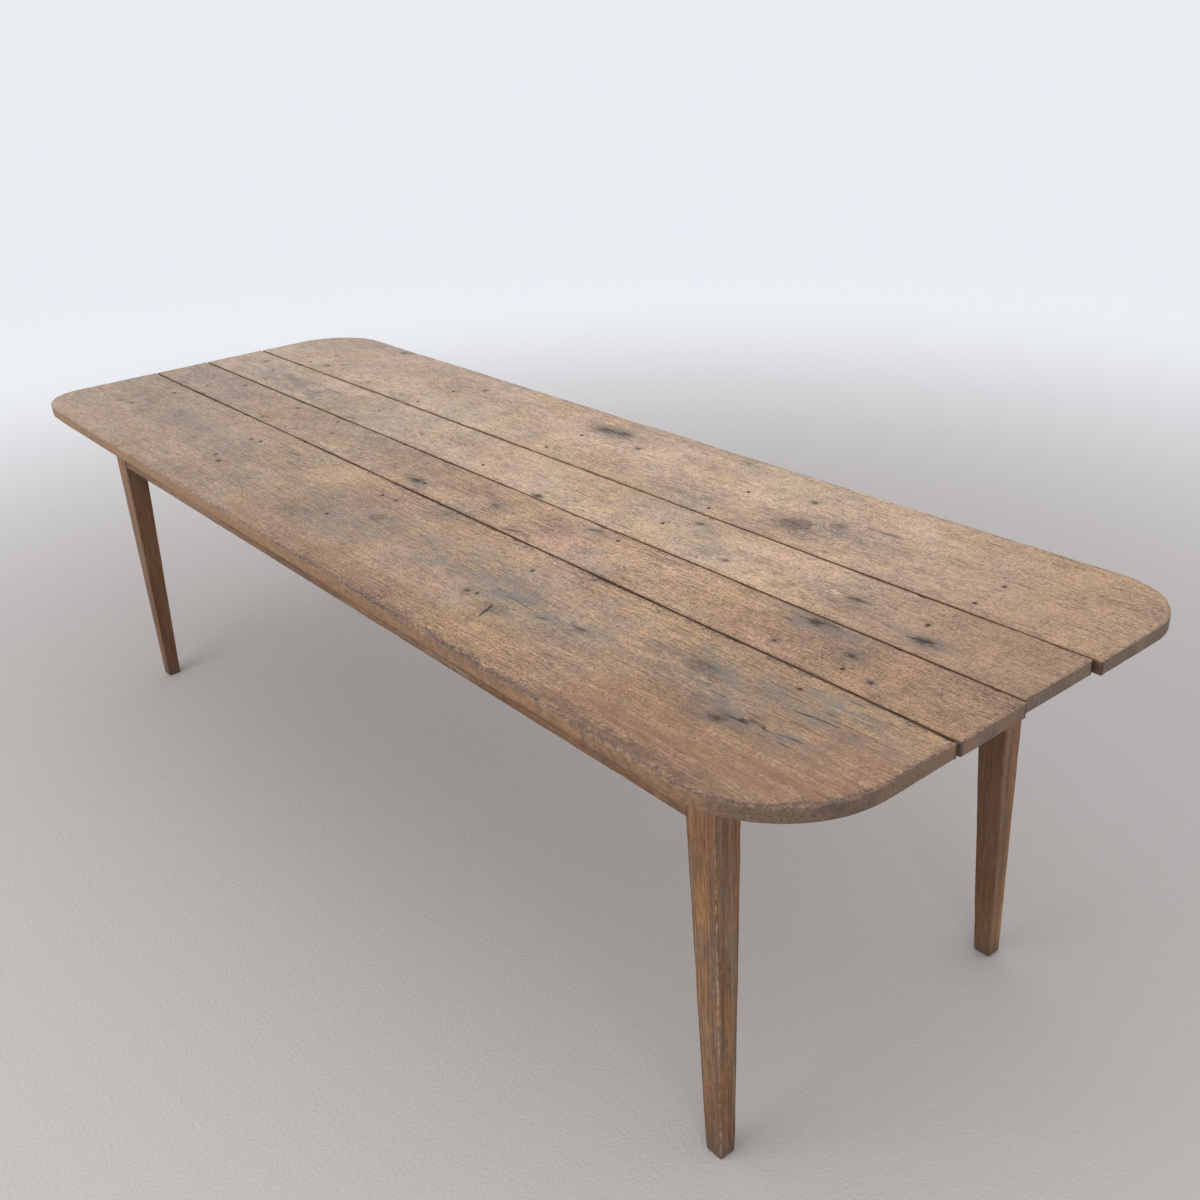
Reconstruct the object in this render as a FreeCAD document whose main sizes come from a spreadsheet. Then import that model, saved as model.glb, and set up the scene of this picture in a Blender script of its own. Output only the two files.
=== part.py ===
"""Farmhouse table: a nailed four-plank top on a pegged frame with tapered legs.

The frame's origin lies on the floor under the middle of the top. +X runs along the table to its
right end, +Y to its back edge and +Z up. All lengths are millimetres.
"""
import FreeCAD, Part
import os
import re

SIZES = {
    # Whole table
    "table_length": 2664,
    "table_height": 760,
    "end_overhang": 226,
    "side_overhang": 102,
    # Planks of the top, from the front edge to the back edge
    "plank_thickness": 24,
    "front_plank_width": 325,
    "inner_front_plank_width": 146,
    "inner_back_plank_width": 165,
    "back_plank_width": 280,
    "seam_gap": 3,
    # How far each plank stops short of the table's full length
    "front_plank_left_setback": 0,
    "front_plank_right_setback": 8,
    "inner_front_plank_left_setback": 2,
    "inner_front_plank_right_setback": 6,
    "inner_back_plank_left_setback": 5,
    "inner_back_plank_right_setback": 12,
    "back_plank_left_setback": 9,
    "back_plank_right_setback": 0,
    # Hand-sawn corners of the top
    "front_left_corner_radius": 150,
    "front_right_corner_radius": 190,
    "back_left_corner_radius": 175,
    "back_right_corner_radius": 130,
    # Loose tongues in the grooved seams
    "tongue_thickness": 6,
    "tongue_width": 22,
    "tongue_end_gap": 28,
    "groove_clearance": 0.5,
    # Legs
    "leg_top_length": 58,
    "leg_top_width": 50,
    "leg_foot_length": 34,
    "leg_foot_width": 31,
    # Aprons and their tenons
    "apron_depth": 125,
    "apron_thickness": 24,
    "apron_setback": 2,
    "tenon_thickness": 9,
    "tenon_top_shoulder": 20,
    "tenon_bottom_shoulder": 8,
    "tenon_web": 5,
    "mortise_clearance": 0.5,
    # Pegs through the tenons
    "peg_diameter": 8,
    "peg_grip": 9,
    # Bearers under the planks
    "bearer_width": 45,
    "bearer_depth": 70,
    "bearer_spacing": 516,
    "bearer_offset": 15,
    "housing_depth": 10,
    # Nails through the planks
    "nail_length": 58,
    "nail_inset": 14,
    "nail_head_diameter": 7,
    "nail_head_thickness": 1.5,
    "nail_shank_diameter": 3.6,
    "nail_point_diameter": 1.2,
    # How far a cutting shape runs past the face that it opens
    "cut_overrun": 4,
}

PLANKS = ("front", "inner_front", "inner_back", "back")
SEAMS = ("front", "middle", "back")
SIDES = {"front": -1, "back": 1}
ENDS = {"left": -1, "right": 1}

# Heights of a joint's two pegs, as shares of the tenon's height, on the sides and on the ends
SIDE_PEG_SHARES = (0.22, 0.72)
END_PEG_SHARES = (0.30, 0.80)

# Places of each row's inner nails, as shares of the width of each plank from front to back
NAIL_SHARES = {
    "left_end": (0.86, 0.30, 0.53, 0.12),
    "left_bearer": (0.78, 0.84, 0.55, 0.11),
    "middle_bearer": (0.83, 0.27, 0.24, 0.13),
    "right_bearer": (0.80, 0.82, 0.51, 0.10),
    "right_end": (0.87, 0.29, 0.54, 0.12),
}

# How far each nail of a row stands off the middle of what it is driven into, as shares of its width
NAIL_WANDER_SHARES = (0.06, -0.09, 0.03, -0.05, 0.10, -0.02)

# Sizes that follow from the sheet
TABLE_WIDTH = "(" + " + ".join(f"{plank}_plank_width" for plank in PLANKS) + ")"
UNDERSIDE = "(table_height - plank_thickness)"
APRON_BOTTOM = f"({UNDERSIDE} - apron_depth)"
LEG_CORNER_X = "(table_length / 2 - end_overhang)"
LEG_CORNER_Y = f"({TABLE_WIDTH} / 2 - side_overhang)"
LEG_INNER_X = f"({LEG_CORNER_X} - leg_top_length)"
LEG_INNER_Y = f"({LEG_CORNER_Y} - leg_top_width)"
TENON_OUTER_INSET = "(apron_setback + (apron_thickness - tenon_thickness) / 2)"
TENON_INNER_INSET = "(apron_setback + (apron_thickness + tenon_thickness) / 2)"
TENON_BOTTOM = f"({APRON_BOTTOM} + tenon_bottom_shoulder)"
TENON_TOP = f"({UNDERSIDE} - tenon_top_shoulder)"
SIDE_TENON_LENGTH = f"(leg_top_length - {TENON_INNER_INSET} - tenon_web)"
END_TENON_LENGTH = f"(leg_top_width - {TENON_INNER_INSET} - tenon_web)"
SIDE_TENON_END = f"({LEG_INNER_X} + {SIDE_TENON_LENGTH})"
END_TENON_END = f"({LEG_INNER_Y} + {END_TENON_LENGTH})"
PEG_LENGTH = f"({TENON_INNER_INSET} + peg_grip)"
APRON_INNER_Y = f"({LEG_CORNER_Y} - apron_setback - apron_thickness)"
END_APRON_MIDDLE = f"({LEG_CORNER_X} - apron_setback - apron_thickness / 2)"
BEARER_BOTTOM = f"({UNDERSIDE} - bearer_depth)"
GROOVE_BOTTOM = f"({UNDERSIDE} + (plank_thickness - tongue_thickness) / 2)"
GROOVE_TOP = f"({GROOVE_BOTTOM} + tongue_thickness)"
GROOVE_REACH = "(tongue_width / 2 + groove_clearance)"

# Spans on the positive side of each axis, inner end first
LEG_SPAN_X = (LEG_INNER_X, LEG_CORNER_X)
LEG_SPAN_Y = (LEG_INNER_Y, LEG_CORNER_Y)
APRON_SPAN_Y = (APRON_INNER_Y, f"({LEG_CORNER_Y} - apron_setback)")
APRON_SPAN_X = (
    f"({LEG_CORNER_X} - apron_setback - apron_thickness)",
    f"({LEG_CORNER_X} - apron_setback)",
)
TENON_SPAN_Y = (
    f"({LEG_CORNER_Y} - {TENON_INNER_INSET})",
    f"({LEG_CORNER_Y} - {TENON_OUTER_INSET})",
)
TENON_SPAN_X = (
    f"({LEG_CORNER_X} - {TENON_INNER_INSET})",
    f"({LEG_CORNER_X} - {TENON_OUTER_INSET})",
)
APRON_SPAN_Z = (APRON_BOTTOM, UNDERSIDE)
TENON_SPAN_Z = (TENON_BOTTOM, TENON_TOP)

TURN_ABOUT_X = FreeCAD.Vector(1, 0, 0)
TURN_ABOUT_Y = FreeCAD.Vector(0, 1, 0)
QUARTER_TURN = 90

doc = FreeCAD.newDocument("FarmhouseTable")
sheet = doc.addObject("Spreadsheet::Sheet", "Sizes")
nodes = []


def fill_sheet():
    """Write every driving size and its alias into the sheet."""
    for row, (alias, value) in enumerate(SIZES.items(), start=1):
        sheet.set(f"A{row}", alias)
        sheet.set(f"B{row}", str(value))
        sheet.setAlias(f"B{row}", alias)
    doc.recompute()


def on_sheet(formula):
    """Put the sheet's name in front of each size that a formula names."""
    return re.sub(r"[a-z_]+[a-z]", lambda word: f"Sizes.{word.group()}", formula)


def bind(feature, formulas):
    """Bind properties of a feature to formulas of the sheet's sizes."""
    for name, formula in formulas.items():
        feature.setExpression(name, on_sheet(formula))
    return feature


def place(feature, x, y, z, axis=None, turn=0):
    """Turn a feature about an axis, then bind its position to three formulas."""
    if axis is not None:
        feature.Placement = FreeCAD.Placement(FreeCAD.Vector(), FreeCAD.Rotation(axis, turn))
    return bind(feature, {"Placement.Base.x": x, "Placement.Base.y": y, "Placement.Base.z": z})


def flipped(span, sign):
    """Give a span as it is, or mirrored to the negative side of its axis."""
    if sign > 0:
        return span
    return (f"-{span[1]}", f"-{span[0]}")


def block(name, span_x, span_y, span_z):
    """Make a box between the lower and upper ends of three spans."""
    box = doc.addObject("Part::Box", name)
    bind(box, {
        "Length": f"({span_x[1]}) - ({span_x[0]})",
        "Width": f"({span_y[1]}) - ({span_y[0]})",
        "Height": f"({span_z[1]}) - ({span_z[0]})",
    })
    return place(box, span_x[0], span_y[0], span_z[0])


def cut(name, base, tool):
    """Take a tool's shape out of a base."""
    result = doc.addObject("Part::Cut", name)
    result.Base = base
    result.Tool = tool
    return result


def fuse(name, shapes):
    """Join touching shapes into one solid with merged faces."""
    result = doc.addObject("Part::MultiFuse", name)
    result.Shapes = shapes
    result.Refine = True
    return result


def group(name, shapes):
    """Keep separate solids together as one object."""
    result = doc.addObject("Part::Compound", name)
    result.Links = shapes
    return result


def finish(feature, label):
    """Name a finished sub-part and put it on the list to be written."""
    feature.Label = label
    nodes.append(feature)
    return feature


def plank_start(index):
    """Give the place across the table where a plank's share of the width begins."""
    return " + ".join([f"-{TABLE_WIDTH} / 2"] + [f"{plank}_plank_width" for plank in PLANKS[:index]])


def make_pegs(side, end):
    """Make the four pegs that hold one leg's two tenons."""
    sign_y = SIDES[side]
    sign_x = ENDS[end]
    leg_face_x = f"{sign_x} * {LEG_CORNER_X}"
    leg_face_y = f"{sign_y} * {LEG_CORNER_Y}"
    side_peg_x = f"{sign_x} * ({LEG_INNER_X} + {SIDE_TENON_LENGTH} / 2)"
    end_peg_y = f"{sign_y} * ({LEG_INNER_Y} + {END_TENON_LENGTH} / 2)"
    pegs = []
    for number, (side_share, end_share) in enumerate(zip(SIDE_PEG_SHARES, END_PEG_SHARES), start=1):
        side_height = f"{TENON_BOTTOM} + {side_share} * ({TENON_TOP} - {TENON_BOTTOM})"
        end_height = f"{TENON_BOTTOM} + {end_share} * ({TENON_TOP} - {TENON_BOTTOM})"
        side_peg = doc.addObject("Part::Cylinder", f"side_peg_{number}_{side}_{end}")
        end_peg = doc.addObject("Part::Cylinder", f"end_peg_{number}_{side}_{end}")
        for peg in (side_peg, end_peg):
            bind(peg, {"Radius": "peg_diameter / 2", "Height": PEG_LENGTH})
        place(side_peg, side_peg_x, leg_face_y, side_height, TURN_ABOUT_X, sign_y * QUARTER_TURN)
        place(end_peg, leg_face_x, end_peg_y, end_height, TURN_ABOUT_Y, -sign_x * QUARTER_TURN)
        pegs += [side_peg, end_peg]
    return finish(group(f"peg_group_{side}_{end}", pegs), f"pegs_{side}_{end}")


def make_leg(side, end, pegs):
    """Make a leg: square above, tapered on its two inner faces below the aprons, with two mortises."""
    sign_y = SIDES[side]
    sign_x = ENDS[end]
    name = f"{side}_{end}"
    span_x = flipped(LEG_SPAN_X, sign_x)
    span_y = flipped(LEG_SPAN_Y, sign_y)
    post = block(f"leg_post_{name}", span_x, span_y, APRON_SPAN_Z)
    shank = doc.addObject("Part::Wedge", f"leg_shank_{name}")
    foot_x = flipped(("-leg_foot_length", "0"), sign_x)
    knee_x = flipped(("-leg_top_length", "0"), sign_x)
    foot_y = flipped(("0", "leg_foot_width"), sign_y)
    knee_y = flipped(("0", "leg_top_width"), sign_y)
    bind(shank, {
        "Xmin": foot_x[0], "Xmax": foot_x[1], "X2min": knee_x[0], "X2max": knee_x[1],
        "Ymin": "0", "Ymax": APRON_BOTTOM,
        "Zmin": foot_y[0], "Zmax": foot_y[1], "Z2min": knee_y[0], "Z2max": knee_y[1],
    })
    corner_x = f"{sign_x} * {LEG_CORNER_X}"
    corner_y = f"{sign_y} * {LEG_CORNER_Y}"
    place(shank, corner_x, corner_y, "0", TURN_ABOUT_X, QUARTER_TURN)
    side_reach = flipped((LEG_INNER_X, f"({SIDE_TENON_END} + mortise_clearance)"), sign_x)
    end_reach = flipped((LEG_INNER_Y, f"({END_TENON_END} + mortise_clearance)"), sign_y)
    side_cheeks = flipped(TENON_SPAN_Y, sign_y)
    end_cheeks = flipped(TENON_SPAN_X, sign_x)
    mortises = group(f"mortises_{name}", [
        block(f"side_mortise_{name}", side_reach, side_cheeks, TENON_SPAN_Z),
        block(f"end_mortise_{name}", end_cheeks, end_reach, TENON_SPAN_Z),
    ])
    blank = fuse(f"leg_blank_{name}", [post, shank])
    mortised = cut(f"leg_mortised_{name}", blank, mortises)
    return finish(cut(f"leg_bored_{name}", mortised, pegs), f"leg_{name}")


def make_bearers():
    """Make the three bearers that lie across the frame with their ends housed in the side aprons."""
    reach = f"({APRON_INNER_Y} + housing_depth)"
    bearers = {}
    for step, place_name in enumerate(("left", "middle", "right"), start=-1):
        middle = f"({step} * bearer_spacing - bearer_offset)"
        span_x = (f"{middle} - bearer_width / 2", f"{middle} + bearer_width / 2")
        span_y = (f"-{reach}", reach)
        bearers[place_name] = block(f"bearer_bar_{place_name}", span_x, span_y, (BEARER_BOTTOM, UNDERSIDE))
    return bearers


def make_side_apron(side, bearers, pegs):
    """Make a long apron with a tenon at each end and three housings for the bearers."""
    sign_y = SIDES[side]
    span_y = flipped(APRON_SPAN_Y, sign_y)
    cheeks = flipped(TENON_SPAN_Y, sign_y)
    board = block(f"apron_board_{side}", (f"-{LEG_INNER_X}", LEG_INNER_X), span_y, APRON_SPAN_Z)
    tenon = block(f"apron_tenon_{side}", (f"-{SIDE_TENON_END}", SIDE_TENON_END), cheeks, TENON_SPAN_Z)
    blank = fuse(f"apron_blank_{side}", [board, tenon])
    housed = cut(f"apron_housed_{side}", blank, group(f"housings_{side}", list(bearers.values())))
    bored = cut(f"apron_bored_{side}", housed, group(f"peg_holes_{side}", [pegs[side, end] for end in ENDS]))
    return finish(bored, f"apron_{side}")


def make_end_apron(end, nails, pegs):
    """Make a short apron with a tenon at each end and holes for its row of nails."""
    sign_x = ENDS[end]
    span_x = flipped(APRON_SPAN_X, sign_x)
    cheeks = flipped(TENON_SPAN_X, sign_x)
    board = block(f"apron_board_{end}", span_x, (f"-{LEG_INNER_Y}", LEG_INNER_Y), APRON_SPAN_Z)
    tenon = block(f"apron_tenon_{end}", cheeks, (f"-{END_TENON_END}", END_TENON_END), TENON_SPAN_Z)
    blank = fuse(f"apron_blank_{end}", [board, tenon])
    bored = cut(f"apron_bored_{end}", blank, group(f"peg_holes_{end}", [pegs[side, end] for side in SIDES]))
    return finish(cut(f"apron_nailed_{end}", bored, nails), f"apron_{end}")


def make_nail(name, x, y):
    """Make a nail with a flat round head flush with the top and a tapering shank."""
    head = doc.addObject("Part::Cylinder", f"nail_head_{name}")
    bind(head, {"Radius": "nail_head_diameter / 2", "Height": "nail_head_thickness"})
    place(head, x, y, "table_height - nail_head_thickness")
    shank = doc.addObject("Part::Cone", f"nail_shank_{name}")
    bind(shank, {
        "Radius1": "nail_point_diameter / 2",
        "Radius2": "nail_shank_diameter / 2",
        "Height": "nail_length - nail_head_thickness",
    })
    place(shank, x, y, "table_height - nail_length")
    return fuse(f"nail_{name}", [head, shank])


def make_nail_row(row, middle, width, reach):
    """Make one row of nails: one near each end of what carries the planks and one in each plank."""
    inner_places = [
        f"{plank_start(index)} + {share} * {plank}_plank_width"
        for index, (plank, share) in enumerate(zip(PLANKS, NAIL_SHARES[row]))
    ]
    places = [f"nail_inset - {reach}", *inner_places, f"{reach} - nail_inset"]
    nails = []
    for number, (y, wander) in enumerate(zip(places, NAIL_WANDER_SHARES), start=1):
        nails.append(make_nail(f"{row}_{number}", f"{middle} + {wander} * {width}", y))
    return finish(group(f"nail_row_{row}", nails), f"nails_{row}")


def make_corner_waste(name, corner_x, corner_y, sign_x, sign_y, radius):
    """Make the waste that leaves one corner of the top round: a square block less a round."""
    inner_x = f"({corner_x} - {radius})"
    inner_y = f"({corner_y} - {radius})"
    span_x = flipped((inner_x, f"({corner_x} + cut_overrun)"), sign_x)
    span_y = flipped((inner_y, f"({corner_y} + cut_overrun)"), sign_y)
    span_z = (f"({UNDERSIDE} - cut_overrun)", "(table_height + cut_overrun)")
    square = block(f"corner_block_{name}", span_x, span_y, span_z)
    rounding = doc.addObject("Part::Cylinder", f"corner_round_{name}")
    bind(rounding, {"Radius": radius, "Height": f"{span_z[1]} - {span_z[0]}"})
    place(rounding, f"{sign_x} * {inner_x}", f"{sign_y} * {inner_y}", span_z[0])
    return cut(f"corner_waste_{name}", square, rounding)


def make_plank(index, plank, nail_rows):
    """Make a plank: a board with hand-sawn outer corners, grooved along its seams and bored for nails."""
    start = plank_start(index)
    stop = plank_start(index + 1)
    left_end = f"(table_length / 2 - {plank}_plank_left_setback)"
    right_end = f"(table_length / 2 - {plank}_plank_right_setback)"
    front_face = start if index == 0 else f"{start} + seam_gap / 2"
    back_face = stop if index == len(PLANKS) - 1 else f"{stop} - seam_gap / 2"
    span_x = (f"-{left_end}", right_end)
    board = block(f"plank_board_{plank}", span_x, (front_face, back_face), (UNDERSIDE, "table_height"))
    wastes = []
    if plank in SIDES:
        for end, end_face in (("left", left_end), ("right", right_end)):
            radius = f"{plank}_{end}_corner_radius"
            wastes.append(make_corner_waste(
                f"{plank}_{end}", end_face, f"({TABLE_WIDTH} / 2)", ENDS[end], SIDES[plank], radius))
    groove_x = (f"-{left_end} - cut_overrun", f"{right_end} + cut_overrun")
    groove_z = (GROOVE_BOTTOM, GROOVE_TOP)
    if index > 0:
        groove_y = (f"{start} - cut_overrun", f"{start} + {GROOVE_REACH}")
        wastes.append(block(f"groove_front_{plank}", groove_x, groove_y, groove_z))
    if index < len(PLANKS) - 1:
        groove_y = (f"{stop} - {GROOVE_REACH}", f"{stop} + cut_overrun")
        wastes.append(block(f"groove_back_{plank}", groove_x, groove_y, groove_z))
    shaped = cut(f"plank_shaped_{plank}", board, group(f"plank_wastes_{plank}", wastes))
    bored = cut(f"plank_bored_{plank}", shaped, group(f"plank_nails_{plank}", nail_rows))
    return finish(bored, f"top_plank_{plank}")


def make_tongue(index, seam):
    """Make the loose tongue that keeps two neighbouring planks level, short of both ends."""
    middle = plank_start(index + 1)
    reach = "(table_length / 2 - tongue_end_gap)"
    span_y = (f"{middle} - tongue_width / 2", f"{middle} + tongue_width / 2")
    tongue = block(f"tongue_strip_{seam}", (f"-{reach}", reach), span_y, (GROOVE_BOTTOM, GROOVE_TOP))
    return finish(tongue, f"tongue_{seam}")


def make_table():
    """Make the whole table, from its fastenings outwards to the boards that they pass through."""
    carriers = {
        "left_end": (f"-{END_APRON_MIDDLE}", "apron_thickness", LEG_INNER_Y),
        "left_bearer": ("(-bearer_spacing - bearer_offset)", "bearer_width", APRON_INNER_Y),
        "middle_bearer": ("-bearer_offset", "bearer_width", APRON_INNER_Y),
        "right_bearer": ("(bearer_spacing - bearer_offset)", "bearer_width", APRON_INNER_Y),
        "right_end": (END_APRON_MIDDLE, "apron_thickness", LEG_INNER_Y),
    }
    nails = {row: make_nail_row(row, *carrier) for row, carrier in carriers.items()}
    pegs = {(side, end): make_pegs(side, end) for side in SIDES for end in ENDS}
    for index, plank in enumerate(PLANKS):
        make_plank(index, plank, list(nails.values()))
    for index, seam in enumerate(SEAMS):
        make_tongue(index, seam)
    bearers = make_bearers()
    for place_name, bearer in bearers.items():
        nailed = cut(f"bearer_nailed_{place_name}", bearer, nails[f"{place_name}_bearer"])
        finish(nailed, f"bearer_{place_name}")
    for side in SIDES:
        make_side_apron(side, bearers, pegs)
    for end in ENDS:
        make_end_apron(end, nails[f"{end}_end"], pegs)
    for side, end in pegs:
        make_leg(side, end, pegs[side, end])


def check_document():
    """Stop if any feature failed or any sub-part has no sound solid."""
    for feature in doc.Objects:
        if {"Invalid", "Error"} & set(feature.State):
            raise RuntimeError(f"{feature.Name} is {feature.State}")
    for node in nodes:
        if node.Shape.isNull() or not node.Shape.isValid() or not node.Shape.Solids:
            raise RuntimeError(f"{node.Label} has no valid solid")


def write_parts():
    """Write each sub-part to a file of its own."""
    os.makedirs("parts", exist_ok=True)
    for node in nodes:
        node.Shape.exportStep(f"parts/{node.Label}.step")
        print(f"{node.Label}: {len(node.Shape.Solids)} solids, {node.Shape.Volume:.0f} mm3")


fill_sheet()
make_table()
doc.recompute()
check_document()
write_parts()
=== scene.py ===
"""Farmhouse table: worn planks, pegged frame and forged nails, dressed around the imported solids."""
import logging
import math
from dataclasses import dataclass, field
from enum import Enum
from typing import Union

import bpy
import numpy as np
from mathutils import Matrix, Vector


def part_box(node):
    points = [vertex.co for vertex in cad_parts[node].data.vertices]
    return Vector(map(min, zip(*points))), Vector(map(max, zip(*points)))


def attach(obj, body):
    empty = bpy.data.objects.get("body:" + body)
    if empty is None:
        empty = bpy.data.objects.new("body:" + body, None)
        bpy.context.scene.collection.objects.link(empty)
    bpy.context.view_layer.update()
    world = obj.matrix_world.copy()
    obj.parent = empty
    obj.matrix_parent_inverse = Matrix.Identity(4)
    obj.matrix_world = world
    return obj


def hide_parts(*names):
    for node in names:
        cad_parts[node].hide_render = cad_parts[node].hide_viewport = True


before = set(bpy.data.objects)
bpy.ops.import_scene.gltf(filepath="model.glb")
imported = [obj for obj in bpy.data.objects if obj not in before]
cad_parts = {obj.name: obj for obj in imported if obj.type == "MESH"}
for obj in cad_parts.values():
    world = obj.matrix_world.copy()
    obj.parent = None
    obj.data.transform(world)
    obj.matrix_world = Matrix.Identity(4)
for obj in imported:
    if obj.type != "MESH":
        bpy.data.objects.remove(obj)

LOG = logging.getLogger("farmhouse_table")
BODY = "root"
WAVE_PACES = (0.6, 1.5)
Colour = tuple[float, float, float]
Place = tuple[float, float, float]
Radii = tuple[float, float, float, float]


def ripple(u: np.ndarray, v: np.ndarray, waves: tuple[float, float], seed: int, count: int = 9) -> np.ndarray:
    """Add up sine waves of random heading and phase into a smooth unevenness between about -1 and 1.

    Args:
        u: First coordinate of each point.
        v: Second coordinate of each point.
        waves: Typical wavelengths along the two coordinates.
        seed: Seed of the random headings and phases.
        count: Number of waves.

    Returns:
        The height at each point.
    """
    rng = np.random.default_rng(seed)
    turn = rng.uniform(0, 2 * math.pi, count)
    pace = rng.uniform(*WAVE_PACES, count)
    phase = rng.uniform(0, 2 * math.pi, count)
    total = np.zeros(np.broadcast(u, v).shape)
    for angle, speed, start in zip(turn, pace, phase):
        ahead = np.cos(angle) * u / waves[0] + np.sin(angle) * v / waves[1]
        total += np.sin(2 * math.pi * speed * ahead + start)
    return total / math.sqrt(count)


def wander(distance: np.ndarray, pitch: float, seed: int) -> np.ndarray:
    """Draw a smooth random curve along a line, through random values between -1 and 1 at an even pitch.

    Args:
        distance: Place of each point along the line.
        pitch: Distance between the random values.
        seed: Seed of the random values.

    Returns:
        The curve's value at each point, eased between neighbouring values by a cosine.
    """
    step = (distance - distance.min()) / pitch
    index = np.floor(step).astype(int)
    values = np.random.default_rng(seed).uniform(-1, 1, index.max() + 2)
    ease = 0.5 - 0.5 * np.cos(math.pi * (step - index))
    return values[index] * (1 - ease) + values[index + 1] * ease


def smooth_step(value: np.ndarray, low: float, high: float) -> np.ndarray:
    """Rise smoothly from 0 at low to 1 at high."""
    share = np.clip((value - low) / (high - low), 0, 1)
    return share * share * (3 - 2 * share)


def around(count: int) -> tuple[np.ndarray, np.ndarray]:
    """Number the points of a ring, and give the number that follows each."""
    here = np.arange(count)
    return here, np.roll(here, -1)


def ring_wall(rings: int, count: int) -> np.ndarray:
    """Join neighbouring rings with quads that face out when the rings run counter-clockwise and go down.

    Args:
        rings: Number of rings.
        count: Number of points in a ring.

    Returns:
        Quads as rows of point numbers.
    """
    here, after = around(count)
    base = (np.arange(rings - 1) * count)[:, None]
    wall = np.stack([base + here, base + count + here, base + count + after, base + after], axis=-1)
    return wall.reshape(-1, 4)


class Lay(Enum):
    """How a board's length, breadth and thickness lie in the table's frame."""

    FLAT_ALONG = ((1, 0, 0), (0, 1, 0), (0, 0, 1))
    ON_EDGE_ALONG = ((1, 0, 0), (0, 0, 1), (0, -1, 0))
    ON_EDGE_ACROSS = ((0, 1, 0), (0, 0, 1), (1, 0, 0))
    FLAT_ACROSS = ((0, 1, 0), (-1, 0, 0), (0, 0, 1))

    def matrix(self) -> np.ndarray:
        """Give the rows that turn board coordinates into table coordinates."""
        return np.array(self.value, float)


@dataclass
class Surface:
    """A closed mesh in arrays: points, faces of three and four corners, and named values at the points."""

    points: np.ndarray
    triangles: np.ndarray
    quads: np.ndarray
    marks: dict[str, np.ndarray] = field(default_factory=dict)

    def to_object(self, name: str, material: bpy.types.Material, slot: str, nodes: list[str]) -> None:
        """Make a smooth-shaded object of the surface, on the table's only body, that stands for CAD nodes.

        Args:
            name: Name of the piece.
            material: Finish of the piece.
            slot: The record's material slot; not used.
            nodes: CAD nodes that the piece replaces.
        """
        mesh = bpy.data.meshes.new(name)
        faces = self.quads.tolist() + self.triangles.tolist()
        mesh.from_pydata(self.points.tolist(), [], faces)
        mesh.polygons.foreach_set("use_smooth", np.ones(len(mesh.polygons), bool))
        for mark, values in self.marks.items():
            layer = mesh.attributes.new(mark, "FLOAT_VECTOR", "POINT")
            layer.data.foreach_set("vector", np.ascontiguousarray(values, np.float32).ravel())
        mesh.materials.append(material)
        mesh.validate()
        mesh.update()
        piece = bpy.data.objects.new(name, mesh)
        bpy.context.scene.collection.objects.link(piece)
        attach(piece, BODY)
        for node in nodes:
            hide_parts(node)
        LOG.info("%s: %d points, %d faces", name, len(mesh.vertices), len(mesh.polygons))


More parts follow.
